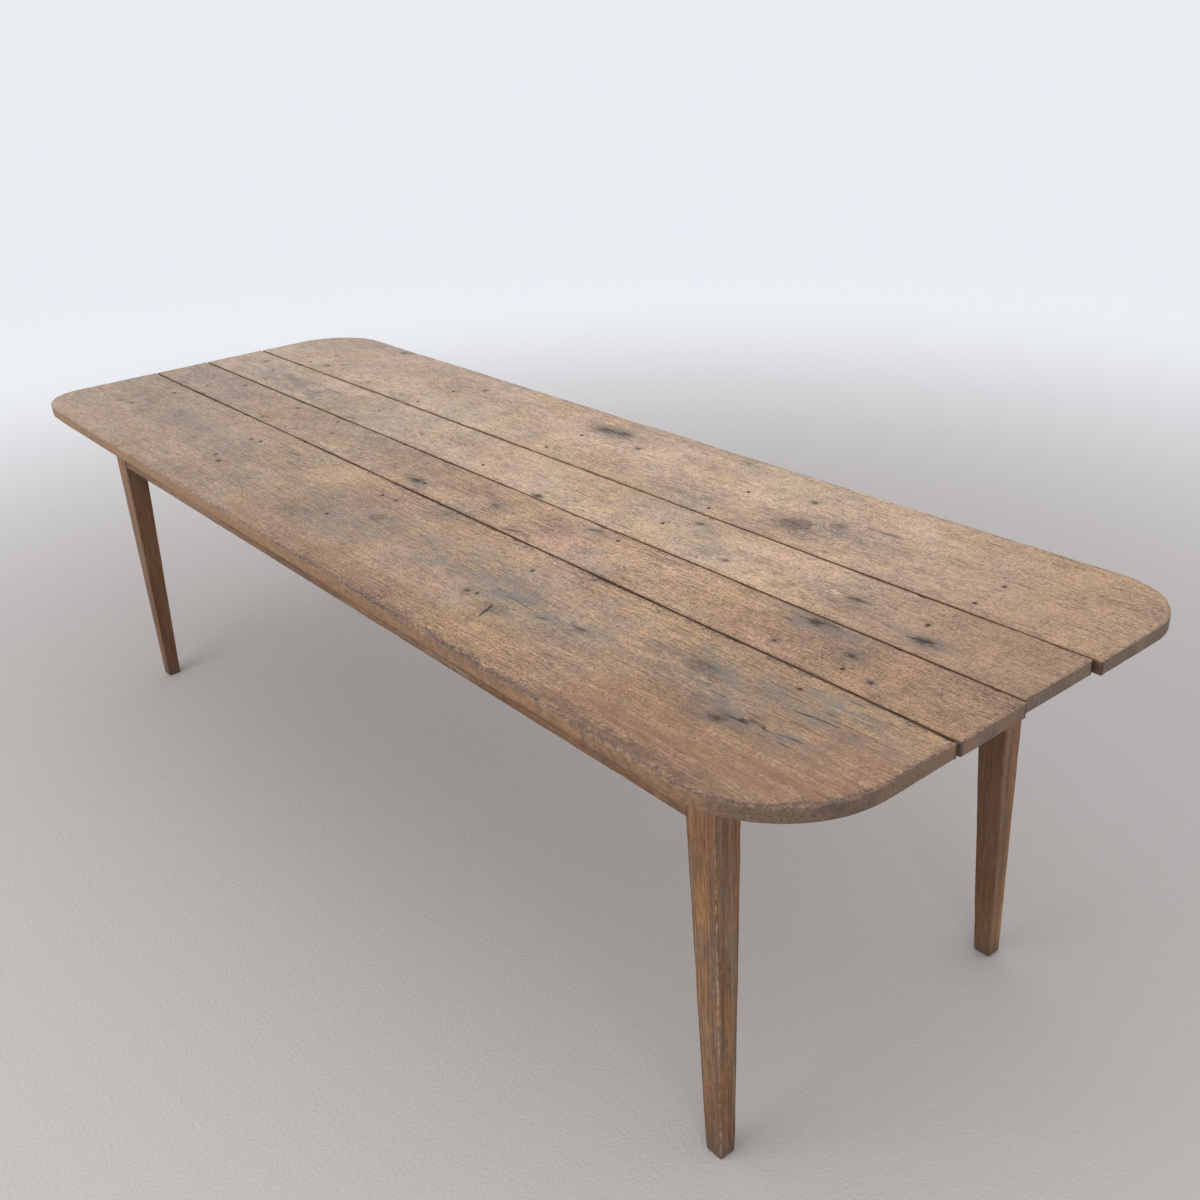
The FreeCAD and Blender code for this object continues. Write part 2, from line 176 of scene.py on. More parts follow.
@dataclass
class Outline:
    """A board's outline: two straight long edges and two ends with their own corner radii.

    The outline runs counter-clockwise from the left end of the front edge. Each of its points belongs to
    a point of the spine, the middle line of the board, which stops short of both ends.
    """

    low: np.ndarray
    high: np.ndarray
    radii: Radii
    step: float
    room_share: float = 0.75
    fewest_turns: int = 4

    def __post_init__(self) -> None:
        """Work out the outline's points, outward normals, distances and spine."""
        front_left, front_right, back_right, back_left = self.radii
        half = (self.high[1] - self.low[1]) / 2
        reach_left = max(half, front_left, back_left)
        reach_right = max(half, front_right, back_right)
        start = self.low[0] + reach_left
        stop = self.high[0] - reach_right
        straight = np.linspace(start, stop, max(2, int((stop - start) / self.step)))
        right = self.end_path(reach_right, front_right, back_right) * (-1, 1) + (self.high[0], 0)
        left = self.end_path(reach_left, front_left, back_left) + (self.low[0], 0)
        front = np.column_stack([straight, np.full_like(straight, self.low[1])])
        back = np.column_stack([straight[::-1], np.full_like(straight, self.high[1])])
        self.points = np.vstack([front, right, back, left[::-1]])
        last = len(straight) - 1
        self.spine_index = np.concatenate([
            np.arange(last + 1), np.full(len(right), last),
            np.arange(last, -1, -1), np.zeros(len(left), int)])
        self.spine = np.column_stack([straight, np.full_like(straight, (self.low[1] + self.high[1]) / 2)])
        ahead = np.roll(self.points, -1, axis=0) - np.roll(self.points, 1, axis=0)
        ahead /= np.linalg.norm(ahead, axis=1)[:, None]
        self.normals = np.column_stack([ahead[:, 1], -ahead[:, 0]])
        lengths = np.linalg.norm(np.diff(self.points, axis=0), axis=1)
        self.distance = np.concatenate([[0], np.cumsum(lengths)])
        self.room = self.corner_room()

    def corner_room(self) -> np.ndarray:
        """Work out how far each point may move in before the rings fold.

        Returns:
            A share of the radius on a rounded corner, and more with the distance from the corner.
        """
        room = np.full(len(self.points), np.inf)
        tips = (
            (self.low[0], self.low[1]), (self.high[0], self.low[1]),
            (self.high[0], self.high[1]), (self.low[0], self.high[1]))
        for tip, radius in zip(tips, self.radii):
            away = np.abs(self.points - tip).max(axis=1)
            room = np.minimum(room, self.room_share * radius + np.clip(away - radius, 0, None))
        return room

    def end_path(self, reach: float, front_radius: float, back_radius: float) -> np.ndarray:
        """Go round one end, from the front edge to the back edge, along straights and quarter circles.

        Args:
            reach: Distance from the end at which the path starts and stops.
            front_radius: Radius of the front corner.
            back_radius: Radius of the back corner.

        Returns:
            Points as distance in from the end and place across, without the first and last.
        """
        front, back = self.low[1], self.high[1]
        pieces = []
        if reach > front_radius:
            pieces.append(self.run((reach, front), (front_radius, front)))
        sine, cosine = self.quarter(front_radius)
        pieces.append(np.column_stack([front_radius * (1 - sine), front + front_radius * (1 - cosine)]))
        pieces.append(self.run((0, front + front_radius), (0, back - back_radius)))
        sine, cosine = self.quarter(back_radius)
        pieces.append(np.column_stack([back_radius * (1 - cosine), back - back_radius * (1 - sine)]))
        pieces.append(np.array([(back_radius, back)]))
        if reach > back_radius:
            pieces.append(self.run((back_radius, back), (reach, back))[1:])
            return np.vstack(pieces)[1:]
        return np.vstack(pieces)[1:-1]

    def run(self, first: tuple[float, float], last: tuple[float, float]) -> np.ndarray:
        """Space points evenly from first up to, but not including, last."""
        count = max(1, int(math.dist(first, last) / self.step))
        return np.linspace(first, last, count, endpoint=False)

    def quarter(self, radius: float) -> tuple[np.ndarray, np.ndarray]:
        """Space angles evenly over a quarter turn, without its end.

        Args:
            radius: Radius of the corner, which sets how many angles there are.

        Returns:
            Sines and cosines of the angles.
        """
        count = max(self.fewest_turns, int(radius * math.pi / 2 / self.step))
        turn = np.linspace(0, math.pi / 2, count, endpoint=False)
        return np.sin(turn), np.cos(turn)


@dataclass
class Board:
    """A sawn board with worn edges: its outline carried over the arris, down the edge and under.

    The surface is a stack of rings. Rings grow from the spine to the rim of the top, follow the profile of
    the edge, and shrink to the spine again underneath.
    """

    name: str
    low: np.ndarray
    high: np.ndarray
    lay: Lay = Lay.FLAT_ALONG
    radii: Radii = (0.004, 0.004, 0.004, 0.004)
    step: float = 0.012
    arris: float = 0.0018
    seed: int = 1
    arris_steps: int = 5
    edge_steps: int = 4
    under_rings: int = 6
    rim_reach: float = 0.009

    arris_pitch = 0.05
    arris_sway_share = 0.45
    inset_pitch = 0.09
    inset_share = 0.12
    relief = 0.0002
    relief_waves = (0.3, 0.06)
    inset_room_share = 0.3
    under_arris_share = 0.7
    growth_power = 1.25
    fewest_rings = 4

    def arris_at(self, outline: Outline) -> np.ndarray:
        """Give the radius worn onto the upper arris at each point of the outline."""
        sway = wander(outline.distance, self.arris_pitch, self.seed)
        return self.arris * (1 + self.arris_sway_share * sway)

    def inset_at(self, outline: Outline) -> np.ndarray:
        """Give how far the edge has worn in at each point of the outline."""
        sway = wander(outline.distance, self.inset_pitch, self.seed + 1)
        return self.arris * self.inset_share * (1 + sway)

    def relief_at(self, u: np.ndarray, v: np.ndarray) -> np.ndarray:
        """Give how far the face has worn down at each point."""
        return self.relief * (1 + ripple(u, v, self.relief_waves, self.seed + 2))

    def lift_at(self, u: np.ndarray, v: np.ndarray) -> np.ndarray:
        """Give how far the board has warped up at each point."""
        return np.zeros(np.broadcast(u, v).shape)

    def marks_at(self, flat: np.ndarray, rim: np.ndarray, drop: np.ndarray) -> dict[str, np.ndarray]:
        """Give the named values that the finish reads at each point.

        Args:
            flat: Place along and across the board.
            rim: Closeness to the arris, from 0 to 1.
            drop: Depth below the upper face.

        Returns:
            Vectors by name.
        """
        return {"wear": np.column_stack([rim, np.zeros_like(rim), np.zeros_like(rim)])}

    def profile(
        self, inset: np.ndarray, arris: np.ndarray, under_arris: np.ndarray,
    ) -> tuple[np.ndarray, np.ndarray]:
        """Go round the upper arris, straight down the side and round the lower arris, in quarter circles.

        Args:
            inset: How far the side has worn in at each point of the outline.
            arris: Radius of the upper arris at each point.
            under_arris: Radius of the lower arris at each point.

        Returns:
            How far in from the outline and how far below the face each ring of the edge lies.
        """
        thickness = self.high[2] - self.low[2]
        upper = np.linspace(0, math.pi / 2, self.arris_steps + 1)[1:, None]
        lower = np.linspace(0, math.pi / 2, self.arris_steps)[:, None]
        side = np.linspace(0, 1, self.edge_steps + 1)[1:-1, None]
        insets = np.vstack([
            inset + arris * (1 - np.sin(upper)),
            np.broadcast_to(inset, (self.edge_steps - 1, len(inset))),
            inset + under_arris * (1 - np.cos(lower)),
        ])
        drops = np.vstack([
            arris * (1 - np.cos(upper)),
            arris + (thickness - arris - under_arris) * side,
            thickness - under_arris * (1 - np.sin(lower)),
        ])
        return insets, drops

    def surface(self) -> Surface:
        """Work out the closed surface: each ring is the outline drawn in towards the spine by its own share.

        Returns:
            The surface in table coordinates.
        """
        outline = Outline(self.low, self.high, self.radii, self.step)
        points, normals = outline.points, outline.normals
        spine = outline.spine[outline.spine_index]
        thickness = self.high[2] - self.low[2]
        inset = np.minimum(self.inset_at(outline), outline.room * self.inset_room_share)
        arris = np.minimum(self.arris_at(outline), outline.room - inset)
        under_arris = np.minimum(self.arris * self.under_arris_share, outline.room - inset)
        insets, drops = self.profile(inset, arris, under_arris)
        ring_count = max(self.fewest_rings, int((self.high[1] - self.low[1]) / 2 / self.step))
        growth = 1 - (1 - np.linspace(0, 1, ring_count + 1)[1:, None]) ** self.growth_power
        shrink = np.linspace(1, 0, self.under_rings + 1)[1:-1, None]
        edge = points - normals * insets[:, :, None]
        top = spine + growth[:, :, None] * (points - normals * (inset + arris)[:, None] - spine)
        under = spine + shrink[:, :, None] * (points - normals * (inset + under_arris)[:, None] - spine)
        drop = np.concatenate([np.zeros(top.shape[:2]), drops, np.full(under.shape[:2], thickness)])
        inward = (1 - growth) * np.linalg.norm(points - spine, axis=1)
        rim = np.concatenate([
            np.exp(-inward / self.rim_reach), np.ones(edge.shape[:2]), np.zeros(under.shape[:2])])
        quads, triangles = self.faces(*drop.shape, outline.spine_index, len(outline.spine))
        flat = np.concatenate([top, edge, under]).reshape(-1, 2)
        flat = np.vstack([flat, outline.spine, outline.spine])
        spine_zero = np.zeros(len(outline.spine))
        drop = np.concatenate([drop.ravel(), spine_zero, spine_zero + thickness])
        rim = np.concatenate([rim.ravel(), spine_zero, spine_zero])
        worn = self.relief_at(*flat.T) * (1 - drop / thickness)
        height = self.high[2] - drop - worn + self.lift_at(*flat.T)
        placed = np.column_stack([flat, height]) @ self.lay.matrix()
        return Surface(placed, triangles, quads, self.marks_at(flat, rim, drop))

    @staticmethod
    def faces(
        rings: int, count: int, spine_index: np.ndarray, spine_count: int,
    ) -> tuple[np.ndarray, np.ndarray]:
        """Join neighbouring rings with quads, and the first and last ring with the spine above and below.

        Args:
            rings: Number of rings.
            count: Number of points in a ring.
            spine_index: The spine point of each outline point.
            spine_count: Number of spine points.

        Returns:
            Quads and triangles as arrays of point numbers.
        """
        here, after = around(count)
        upper = rings * count + spine_index
        lower = upper + spine_count
        bottom = (rings - 1) * count
        moves = spine_index != np.roll(spine_index, -1)
        above = np.column_stack([upper, here, after, np.roll(upper, -1)])
        below = np.column_stack([np.roll(lower, -1), bottom + after, bottom + here, lower])
        quads = np.vstack([ring_wall(rings, count), above[moves], below[moves]])
        fans = np.vstack([above[~moves][:, :3], below[~moves][:, 1:]])
        return quads, fans


@dataclass(frozen=True)
class Knot:
    """A knot on a plank: place of its middle, half length, half breadth and how dark it is."""

    x: float
    y: float
    half_length: float
    half_breadth: float
    darkness: float


@dataclass(frozen=True)
class Crack:
    """A crack in a plank, from one end to the other, with its width at the middle."""

    x: float
    y: float
    end_x: float
    end_y: float
    width: float


class Hue(Enum):
    """The kinds of stain in the top, in the order in which their strengths are kept."""

    GREY = 0
    DARK = 1
    RED = 2


@dataclass(frozen=True)
class Stain:
    """A soft stain: place of its middle, half length, half breadth, strength and kind."""

    x: float
    y: float
    half_length: float
    half_breadth: float
    strength: float
    hue: Hue = Hue.GREY


class Edge(Enum):
    """The long edges of a plank."""

    FRONT = "front"
    BACK = "back"


@dataclass(frozen=True)
class Loss:
    """Wood broken off along an edge, wherever a random curve rises above a level."""

    depth: float
    pitch: float
    level: float
    draw: int

    def at(self, distance: np.ndarray, seed: int) -> np.ndarray:
        """Give the depth times the curve's rise above the level at each place along the edge."""
        return self.depth * np.clip(wander(distance, self.pitch, seed + self.draw) - self.level, 0, None)


@dataclass
class Plank(Board):
    """A plank of the top, with its knots, cracks and stains."""

    knots: tuple[Knot, ...] = ()
    cracks: tuple[Crack, ...] = ()
    stains: tuple[Stain, ...] = ()
    nails: np.ndarray = field(default_factory=lambda: np.zeros((0, 2)))
    ragged_from: float = 9.0
    ragged: float = 0.0
    corner_lift: float = 0.0
    gape: float = 0.0
    seams: tuple[Edge, ...] = (Edge.FRONT, Edge.BACK)
    step: float = 0.0044
    arris: float = 0.0016

    seam_depth = 0.0022
    seam_reach = 0.0045
    seam_end = 1.316
    seam_arris_share = 0.45
    open_end_share = 0.3
    gape_from = (-1.20, -0.70)
    gape_to = (0.10, 0.50)
    lift_along = (1.05, 1.33)
    lift_across = (0.30, 0.458)
    ragged_ease = 1.20
    ragged_least_share = 0.15
    chips = (
        Loss(depth=0.7, pitch=0.022, level=-0.35, draw=5),
        Loss(depth=0.8, pitch=0.075, level=-0.2, draw=10),
    )
    nicks = Loss(depth=0.008, pitch=0.028, level=0.62, draw=8)
    splinters = Loss(depth=0.0022, pitch=0.011, level=-0.1, draw=9)
    sawn_shares = (0.5, 0.9)
    saw_sway = 0.0006
    saw_pitch = 0.16
    small_loss = 0.0003
    small_pitch = 0.02
    dish = 0.00045
    dish_waves = (0.7, 0.22)
    planing = 0.00018
    planing_waves = (0.25, 0.035)
    relief_sway_share = 0.6
    dent = 0.0004
    dent_level = 1.6
    dent_waves = (0.035, 0.025)
    fray_reach = 0.011
    crumb_share = 0.35
    crumb_waves = (0.020, 0.016)
    knot_reach = 3.2
    knot_fade_share = 0.55
    nail_halo = 0.006
    crack_reach = 0.012
    crack_fade_share = 0.5

    def seam_lines(self) -> np.ndarray:
        """Give the place across of each edge that faces another plank."""
        return np.array([self.low[1] if edge is Edge.FRONT else self.high[1] for edge in self.seams])

    def raggedness(self, along: np.ndarray) -> np.ndarray:
        """Rise from 0, where the front edge starts to be ragged, to 1."""
        return smooth_step(along, self.ragged_from, self.ragged_from + self.ragged_ease)

    def arris_at(self, outline: Outline) -> np.ndarray:
        """Give the upper arris's radius: worn all along, and broken away in chips on the ragged stretch.

        Args:
            outline: The plank's outline.

        Returns:
            The radius at each point of the outline.
        """
        along, across = outline.points.T
        base = super().arris_at(outline)
        for line in self.seam_lines():
            base = np.where(np.abs(across - line) < self.arris, base * self.seam_arris_share, base)
        on_front = across < (self.low[1] + self.high[1]) / 2
        stretch = self.raggedness(along) * on_front
        chips = sum(loss.at(outline.distance, self.seed) for loss in self.chips)
        sawn = smooth_step(np.abs(outline.normals[:, 0]), *self.sawn_shares)
        broken = sawn * self.splinters.at(outline.distance, self.seed)
        broken = broken + self.nicks.at(outline.distance, self.seed)
        return base + self.ragged * stretch * (self.ragged_least_share + chips) + broken

    def inset_at(self, outline: Outline) -> np.ndarray:
        """Give the edge's wear: a slow wave of the saw, small losses, and a front seam that gapes midway.

        Args:
            outline: The plank's outline.

        Returns:
            How far the edge has worn in at each point of the outline.
        """
        slow = self.saw_sway * (1 + wander(outline.distance, self.saw_pitch, self.seed + 1))
        small = self.small_loss * (1 + wander(outline.distance, self.small_pitch, self.seed + 6))
        along, across = outline.points.T
        opened = smooth_step(along, *self.gape_from) * (1 - smooth_step(along, *self.gape_to))
        facing = across < self.low[1] + self.arris
        return slow + small + self.gape * opened * facing

    def relief_at(self, u: np.ndarray, v: np.ndarray) -> np.ndarray:
        """Give the top's wear: shallow dishing, long ripples of the plane, small dents and a frayed edge.

        Args:
            u: Place of each point along the plank.
            v: Place of each point across it.

        Returns:
            How far the face has worn down at each point.
        """
        sway_share = self.relief_sway_share
        dish = self.dish * (1 + sway_share * ripple(u, v, self.dish_waves, self.seed + 2))
        planed = self.planing * (1 + sway_share * ripple(u, v, self.planing_waves, self.seed + 3))
        dents = self.dent * np.clip(ripple(u, v, self.dent_waves, self.seed + 4) - self.dent_level, 0, None)
        frayed = self.raggedness(u) * np.exp(-(v - self.low[1]) / self.fray_reach)
        crumbs = np.clip(1 + ripple(u, v, self.crumb_waves, self.seed + 7), 0, None)
        return dish + planed + dents + self.crumb_share * self.ragged * frayed * crumbs

    def lift_at(self, u: np.ndarray, v: np.ndarray) -> np.ndarray:
        """Give the warp of the left front corner, which starts outside the leg."""
        return self.corner_lift * smooth_step(-u, *self.lift_along) * smooth_step(-v, *self.lift_across)

    def marks_at(self, flat: np.ndarray, rim: np.ndarray, drop: np.ndarray) -> dict[str, np.ndarray]:
        """Give each point its place on the nearest knot and crack, its stains and its closeness to nails.

        Args:
            flat: Place along and across the plank.
            rim: Closeness to the arris, from 0 to 1.
            drop: Depth below the upper face.

        Returns:
            Vectors by name.
        """
        place, near, darkness = self.knot_marks(flat)
        ragged = self.raggedness(flat[:, 0])
        return {
            "wear": np.column_stack([rim, self.nail_marks(flat), near]),
            "edge": np.column_stack([self.seam_marks(flat, drop), ragged, darkness]),
            "knot_place": place,
            "crack_place": self.crack_marks(flat),
            "stains": self.stain_marks(flat),
        }

    def seam_marks(self, flat: np.ndarray, drop: np.ndarray) -> np.ndarray:
        """Mark the points down the edges that face another plank, less at the open ends of the seams.

        Args:
            flat: Place along and across the plank.
            drop: Depth below the upper face.

        Returns:
            The mark of each point, from 0 on the face to 1 in the seam.
        """
        away = np.abs(flat[:, 1, None] - self.seam_lines()).min(axis=1)
        open_end = smooth_step(np.abs(flat[:, 0]), self.seam_end, self.seam_end + self.arris)
        reach = np.where(open_end > 0, self.seam_reach, self.arris)
        inside = (away < reach) * smooth_step(drop, 0, self.seam_depth)
        return inside * (1 - self.open_end_share * open_end)

    def knot_marks(self, flat: np.ndarray) -> tuple[np.ndarray, np.ndarray, np.ndarray]:
        """Measure each point from the nearest knot in that knot's own half sizes.

        Args:
            flat: Place along and across the plank.

        Returns:
            The offset from the knot, a mask that fades away from it, and its darkness.
        """
        knots = np.array([(k.x, k.y, k.half_length, k.half_breadth, k.darkness) for k in self.knots])
        offsets = (flat[:, None, :] - knots[None, :, :2]) / knots[None, :, 2:4]
        away = np.linalg.norm(offsets, axis=2)
        nearest = away.argmin(axis=1)
        rows = np.arange(len(flat))
        place = np.column_stack([offsets[rows, nearest], np.zeros(len(flat))])
        fade_from = self.knot_reach * self.knot_fade_share
        near = 1 - smooth_step(away[rows, nearest], fade_from, self.knot_reach)
        return place, near, knots[nearest, 4]

    def nail_marks(self, flat: np.ndarray) -> np.ndarray:
        """Measure how close each point is to a nail, as a bell curve."""
        away = np.linalg.norm(flat[:, None, :] - self.nails[None], axis=2).min(axis=1)
        return np.exp(-(away / self.nail_halo) ** 2)

    def crack_marks(self, flat: np.ndarray) -> np.ndarray:
        """Measure each point across and along the nearest crack.

        Args:
            flat: Place along and across the plank.

        Returns:
            The distance across in the crack's own widths, a parabola along it that is 0 at its ends, and a
            mask that fades away from it.
        """
        cracks = np.array([(c.x, c.y, c.end_x, c.end_y, c.width) for c in self.cracks])
        start, run = cracks[:, :2], cracks[:, 2:4] - cracks[:, :2]
        length = np.linalg.norm(run, axis=1)
        ahead = run / length[:, None]
        sideways = np.column_stack([-ahead[:, 1], ahead[:, 0]])
        gap = flat[:, None, :] - start[None]
        along = (gap * ahead).sum(axis=2) / length
        across = (gap * sideways).sum(axis=2)
        beyond = np.abs(along - np.clip(along, 0, 1)) * length
        away = np.hypot(across, beyond)
        nearest = away.argmin(axis=1)
        rows = np.arange(len(flat))
        fade_from = self.crack_reach * self.crack_fade_share
        near = 1 - smooth_step(away[rows, nearest], fade_from, self.crack_reach)
        taper = np.clip(1 - (2 * along[rows, nearest] - 1) ** 2, 0, None)
        return np.column_stack([across[rows, nearest] / cracks[nearest, 4], taper, near])

    def stain_marks(self, flat: np.ndarray) -> np.ndarray:
        """Add up the bell curves of the stains of each kind.

        Args:
            flat: Place along and across the plank.

        Returns:
            The strength of each kind of stain at each point, from 0 to 1.
        """
        total = np.zeros((len(flat), len(Hue)))
        for stain in self.stains:
            away = (flat - (stain.x, stain.y)) / (stain.half_length, stain.half_breadth)
            total[:, stain.hue.value] += stain.strength * np.exp(-(away ** 2).sum(axis=1))
        return np.clip(total, 0, 1)


@dataclass
class Leg:
    """A leg with its outer faces upright and its two inner faces tapered below the aprons."""

    name: str
    low: np.ndarray
    high: np.ndarray
    sign_x: int
    sign_y: int
    knee: float
    foot_length: float = 0.034
    foot_width: float = 0.031
    arris: float = 0.0019
    chamfer: float = 0.003
    rows: int = 240
    side_points: int = 9
    corner_points: int = 6
    seed: int = 1

    foot_rows = (0.0006, 0.0016)
    arris_waves = (0.09, 0.6)
    arris_sway_share = 0.25
    foot_wear_height = 0.05
    foot_wear_share = 0.8
    face_wear = 0.00012
    face_waves = (0.22, 0.5)
    corner_slant_share = 0.05
    corner_share = 0.02

    def ring(self) -> tuple[np.ndarray, np.ndarray]:
        """Go round a square whose corners are quarter circles.

        Returns:
            Shares of the straight run at each point, and outward directions.
        """
        corners = np.array([(0, 0), (1, 0), (1, 1), (0, 1)], float)
        shares, directions = [], []
        for number, corner in enumerate(corners):
            turn = math.pi + math.pi / 2 * (number + np.linspace(0, 1, self.corner_points))
            shares.append(np.repeat(corner[None], self.corner_points, axis=0))
            directions.append(np.column_stack([np.cos(turn), np.sin(turn)]))
            following = corners[(number + 1) % len(corners)]
            along = np.linspace(0, 1, self.side_points + 2)[1:-1, None]
            shares.append(corner + along * (following - corner))
            directions.append(np.repeat(directions[-1][-1:], self.side_points, axis=0))
        return np.vstack(shares), np.vstack(directions)

    def surface(self) -> Surface:
        """Carry the rounded square up the leg, shrinking it to the foot, and close both ends.

        Returns:
            The surface in table coordinates.
        """
        shares, directions = self.ring()
        count = len(shares)
        low_rows = [0, *self.foot_rows, self.chamfer]
        height = np.sort(np.concatenate([low_rows, np.linspace(0, self.high[2], self.rows)[1:]]))[:, None]
        rise = np.clip(height / self.knee, 0, 1)
        turn = np.linspace(0, 1, count, endpoint=False)[None]
        worn = self.arris * (1 + self.arris_sway_share * ripple(height, turn, self.arris_waves, self.seed))
        worn = worn * (1 + self.foot_wear_share * np.exp(-height / self.foot_wear_height))
        face = self.face_wear * (1 + ripple(height, turn, self.face_waves, self.seed + 1))
        face = face + self.chamfer * (1 - np.sqrt(np.clip(height / self.chamfer, 0, 1)))
        places = []
        sides = ((self.foot_length, self.sign_x), (self.foot_width, self.sign_y))
        for axis, (foot, sign) in enumerate(sides):
            size = foot + rise * (self.high[axis] - self.low[axis] - foot)
            local = worn + shares[:, axis] * (size - 2 * worn) + directions[:, axis] * (worn - face)
            outer_face = self.high[axis] if sign > 0 else self.low[axis]
            places.append(outer_face - sign * local)
        points = np.stack([*places, np.broadcast_to(height, places[0].shape)], axis=-1)
        middles = points[[0, -1]].mean(axis=1)
        on_corner = np.abs(directions).min(axis=1) > self.corner_slant_share
        outer = shares.max(axis=1) < self.corner_share
        # Inner faces, the third part of the wear mark: not wear but the mask for the painted shade that the
        # frame finish lays on the faces under the top.
        inner = shares.max(axis=1) > 1 - self.corner_share
        wear = np.tile(np.column_stack([on_corner, outer, inner]), (len(height), 1))
        marks = {"wear": np.vstack([wear, np.zeros((len(middles), wear.shape[1]))])}
        quads, triangles = self.faces(len(height), count)
        if self.sign_x * self.sign_y < 0:
            quads, triangles = quads[:, ::-1], triangles[:, ::-1]
        return Surface(np.vstack([points.reshape(-1, 3), middles]), triangles, quads, marks)

    @staticmethod
    def faces(rows: int, count: int) -> tuple[np.ndarray, np.ndarray]:
        """Join the rings with quads and fan both ends from their middles.

        Args:
            rows: Number of rings.
            count: Number of points in a ring.

        Returns:
            Quads and triangles as arrays of point numbers.
        """
        here, after = around(count)
        last = (rows - 1) * count
        foot = np.column_stack([np.full(count, rows * count), after, here])
        head = np.column_stack([np.full(count, rows * count + 1), last + here, last + after])
        wall = np.roll(ring_wall(rows, count)[:, ::-1], 1, axis=1)
        return wall, np.vstack([foot, head])


@dataclass
class NailRow:
    """A row of hand-forged nails: each a faceted head and a tapering shank turned about its own axis."""

    name: str
    head_radius: float = 0.0038
    head_proud: float = 0.0003
    length: float = 0.058
    sides: int = 14
    seed: int = 1

    ring_shares = (0.45, 0.8, 1.0, 0.96, 0.47, 0.42, 0.12)
    ring_depths = (0.0, 0.0002, 0.0007, 0.0014, 0.0016, 0.03)
    crown_rise = 0.0001
    lump_share = 0.12
    tilt_share = 0.06

    def places(self) -> np.ndarray:
        """Find the middle of each nail from its solid's points, which lie apart across the table.

        Returns:
            Place along and across the table of each nail.
        """
        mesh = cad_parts[self.name].data
        points = np.empty(len(mesh.vertices) * 3)
        mesh.vertices.foreach_get("co", points)
        points = points.reshape(-1, 3)
        points = points[np.argsort(points[:, 1])]
        splits = np.flatnonzero(np.diff(points[:, 1]) > self.head_radius) + 1
        groups = np.split(points[:, :2], splits)
        return np.array([(group.min(axis=0) + group.max(axis=0)) / 2 for group in groups])

    def surface(self) -> Surface:
        """Turn one uneven profile about each nail's axis, and fan the crown and the tip.

        Returns:
            The surface of all the nails.
        """
        places = self.places()
        nails = len(places)
        rng = np.random.default_rng(self.seed)
        angle = np.linspace(0, 2 * math.pi, self.sides, endpoint=False)
        depths = np.array([*self.ring_depths, self.length])[None, :, None]
        lumps = 1 + self.lump_share * rng.uniform(-1, 1, (nails, 1, self.sides))
        radius = self.head_radius * np.array(self.ring_shares)[None, :, None] * lumps
        middle_x, middle_y = places.T[:, :, None, None]
        x = middle_x + radius * np.cos(angle)
        y = middle_y + radius * np.sin(angle)
        tilt = self.tilt_share * rng.uniform(-1, 1, (nails, 1, 1)) * (x - middle_x)
        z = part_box(self.name)[1].z + self.head_proud - depths + tilt
        points = np.stack([x, y, z], axis=-1)
        crowns = points[:, 0].mean(axis=1) + (0, 0, self.crown_rise)
        tips = points[:, -1].mean(axis=1)
        rings = len(self.ring_shares)
        block = rings * self.sides
        shift = (np.arange(nails) * block)[:, None, None]
        quads = (ring_wall(rings, self.sides) + shift).reshape(-1, 4)
        here, after = around(self.sides)
        last = (rings - 1) * self.sides
        crown_index = (nails * block + np.arange(nails))[:, None, None]
        fans = []
        for middle, rim in (
            (crown_index, np.column_stack([here, after])),
            (crown_index + nails, np.column_stack([last + after, last + here])),
        ):
            spread = np.broadcast_to(middle, (nails, self.sides, 1))
            fans.append(np.concatenate([spread, rim + shift], axis=2).reshape(-1, 3))
        return Surface(np.vstack([points.reshape(-1, 3), crowns, tips]), np.vstack(fans), quads)


Value = Union["Flow", float]


class Flow:
    """A number that varies over a surface and is worked out by nodes, written as ordinary sums."""

    def __init__(self, pen: "Pen", socket: bpy.types.NodeSocket) -> None:
        """Keep the socket that gives the number."""
        self.pen = pen
        self.socket = socket

    def do(self, operation: str, *others: Value) -> "Flow":
        """Add one maths node."""
        node = self.pen.add("ShaderNodeMath", dict(enumerate((self, *others))), operation=operation)
        return Flow(self.pen, node.outputs[0])

    def __add__(self, other: Value) -> "Flow":
        """Add."""
        return self.do("ADD", other)

    def __sub__(self, other: Value) -> "Flow":
        """Subtract."""
        return self.do("SUBTRACT", other)

    def __mul__(self, other: Value) -> "Flow":
        """Multiply."""
        return self.do("MULTIPLY", other)

    def __truediv__(self, other: Value) -> "Flow":
        """Divide."""
        return self.do("DIVIDE", other)

    def inverse(self) -> "Flow":
        """Take from 1."""
        return self * -1.0 + 1.0

    def ramp(self, low: float, high: float) -> "Flow":
        """Rise smoothly from 0 at low to 1 at high."""
        node = self.pen.add("ShaderNodeMapRange", {0: self, 1: low, 2: high}, interpolation_type="SMOOTHSTEP")
        return Flow(self.pen, node.outputs[0])

    def limit(self) -> "Flow":
        """Keep between 0 and 1."""
        node = self.pen.add("ShaderNodeClamp", {0: self})
        return Flow(self.pen, node.outputs[0])


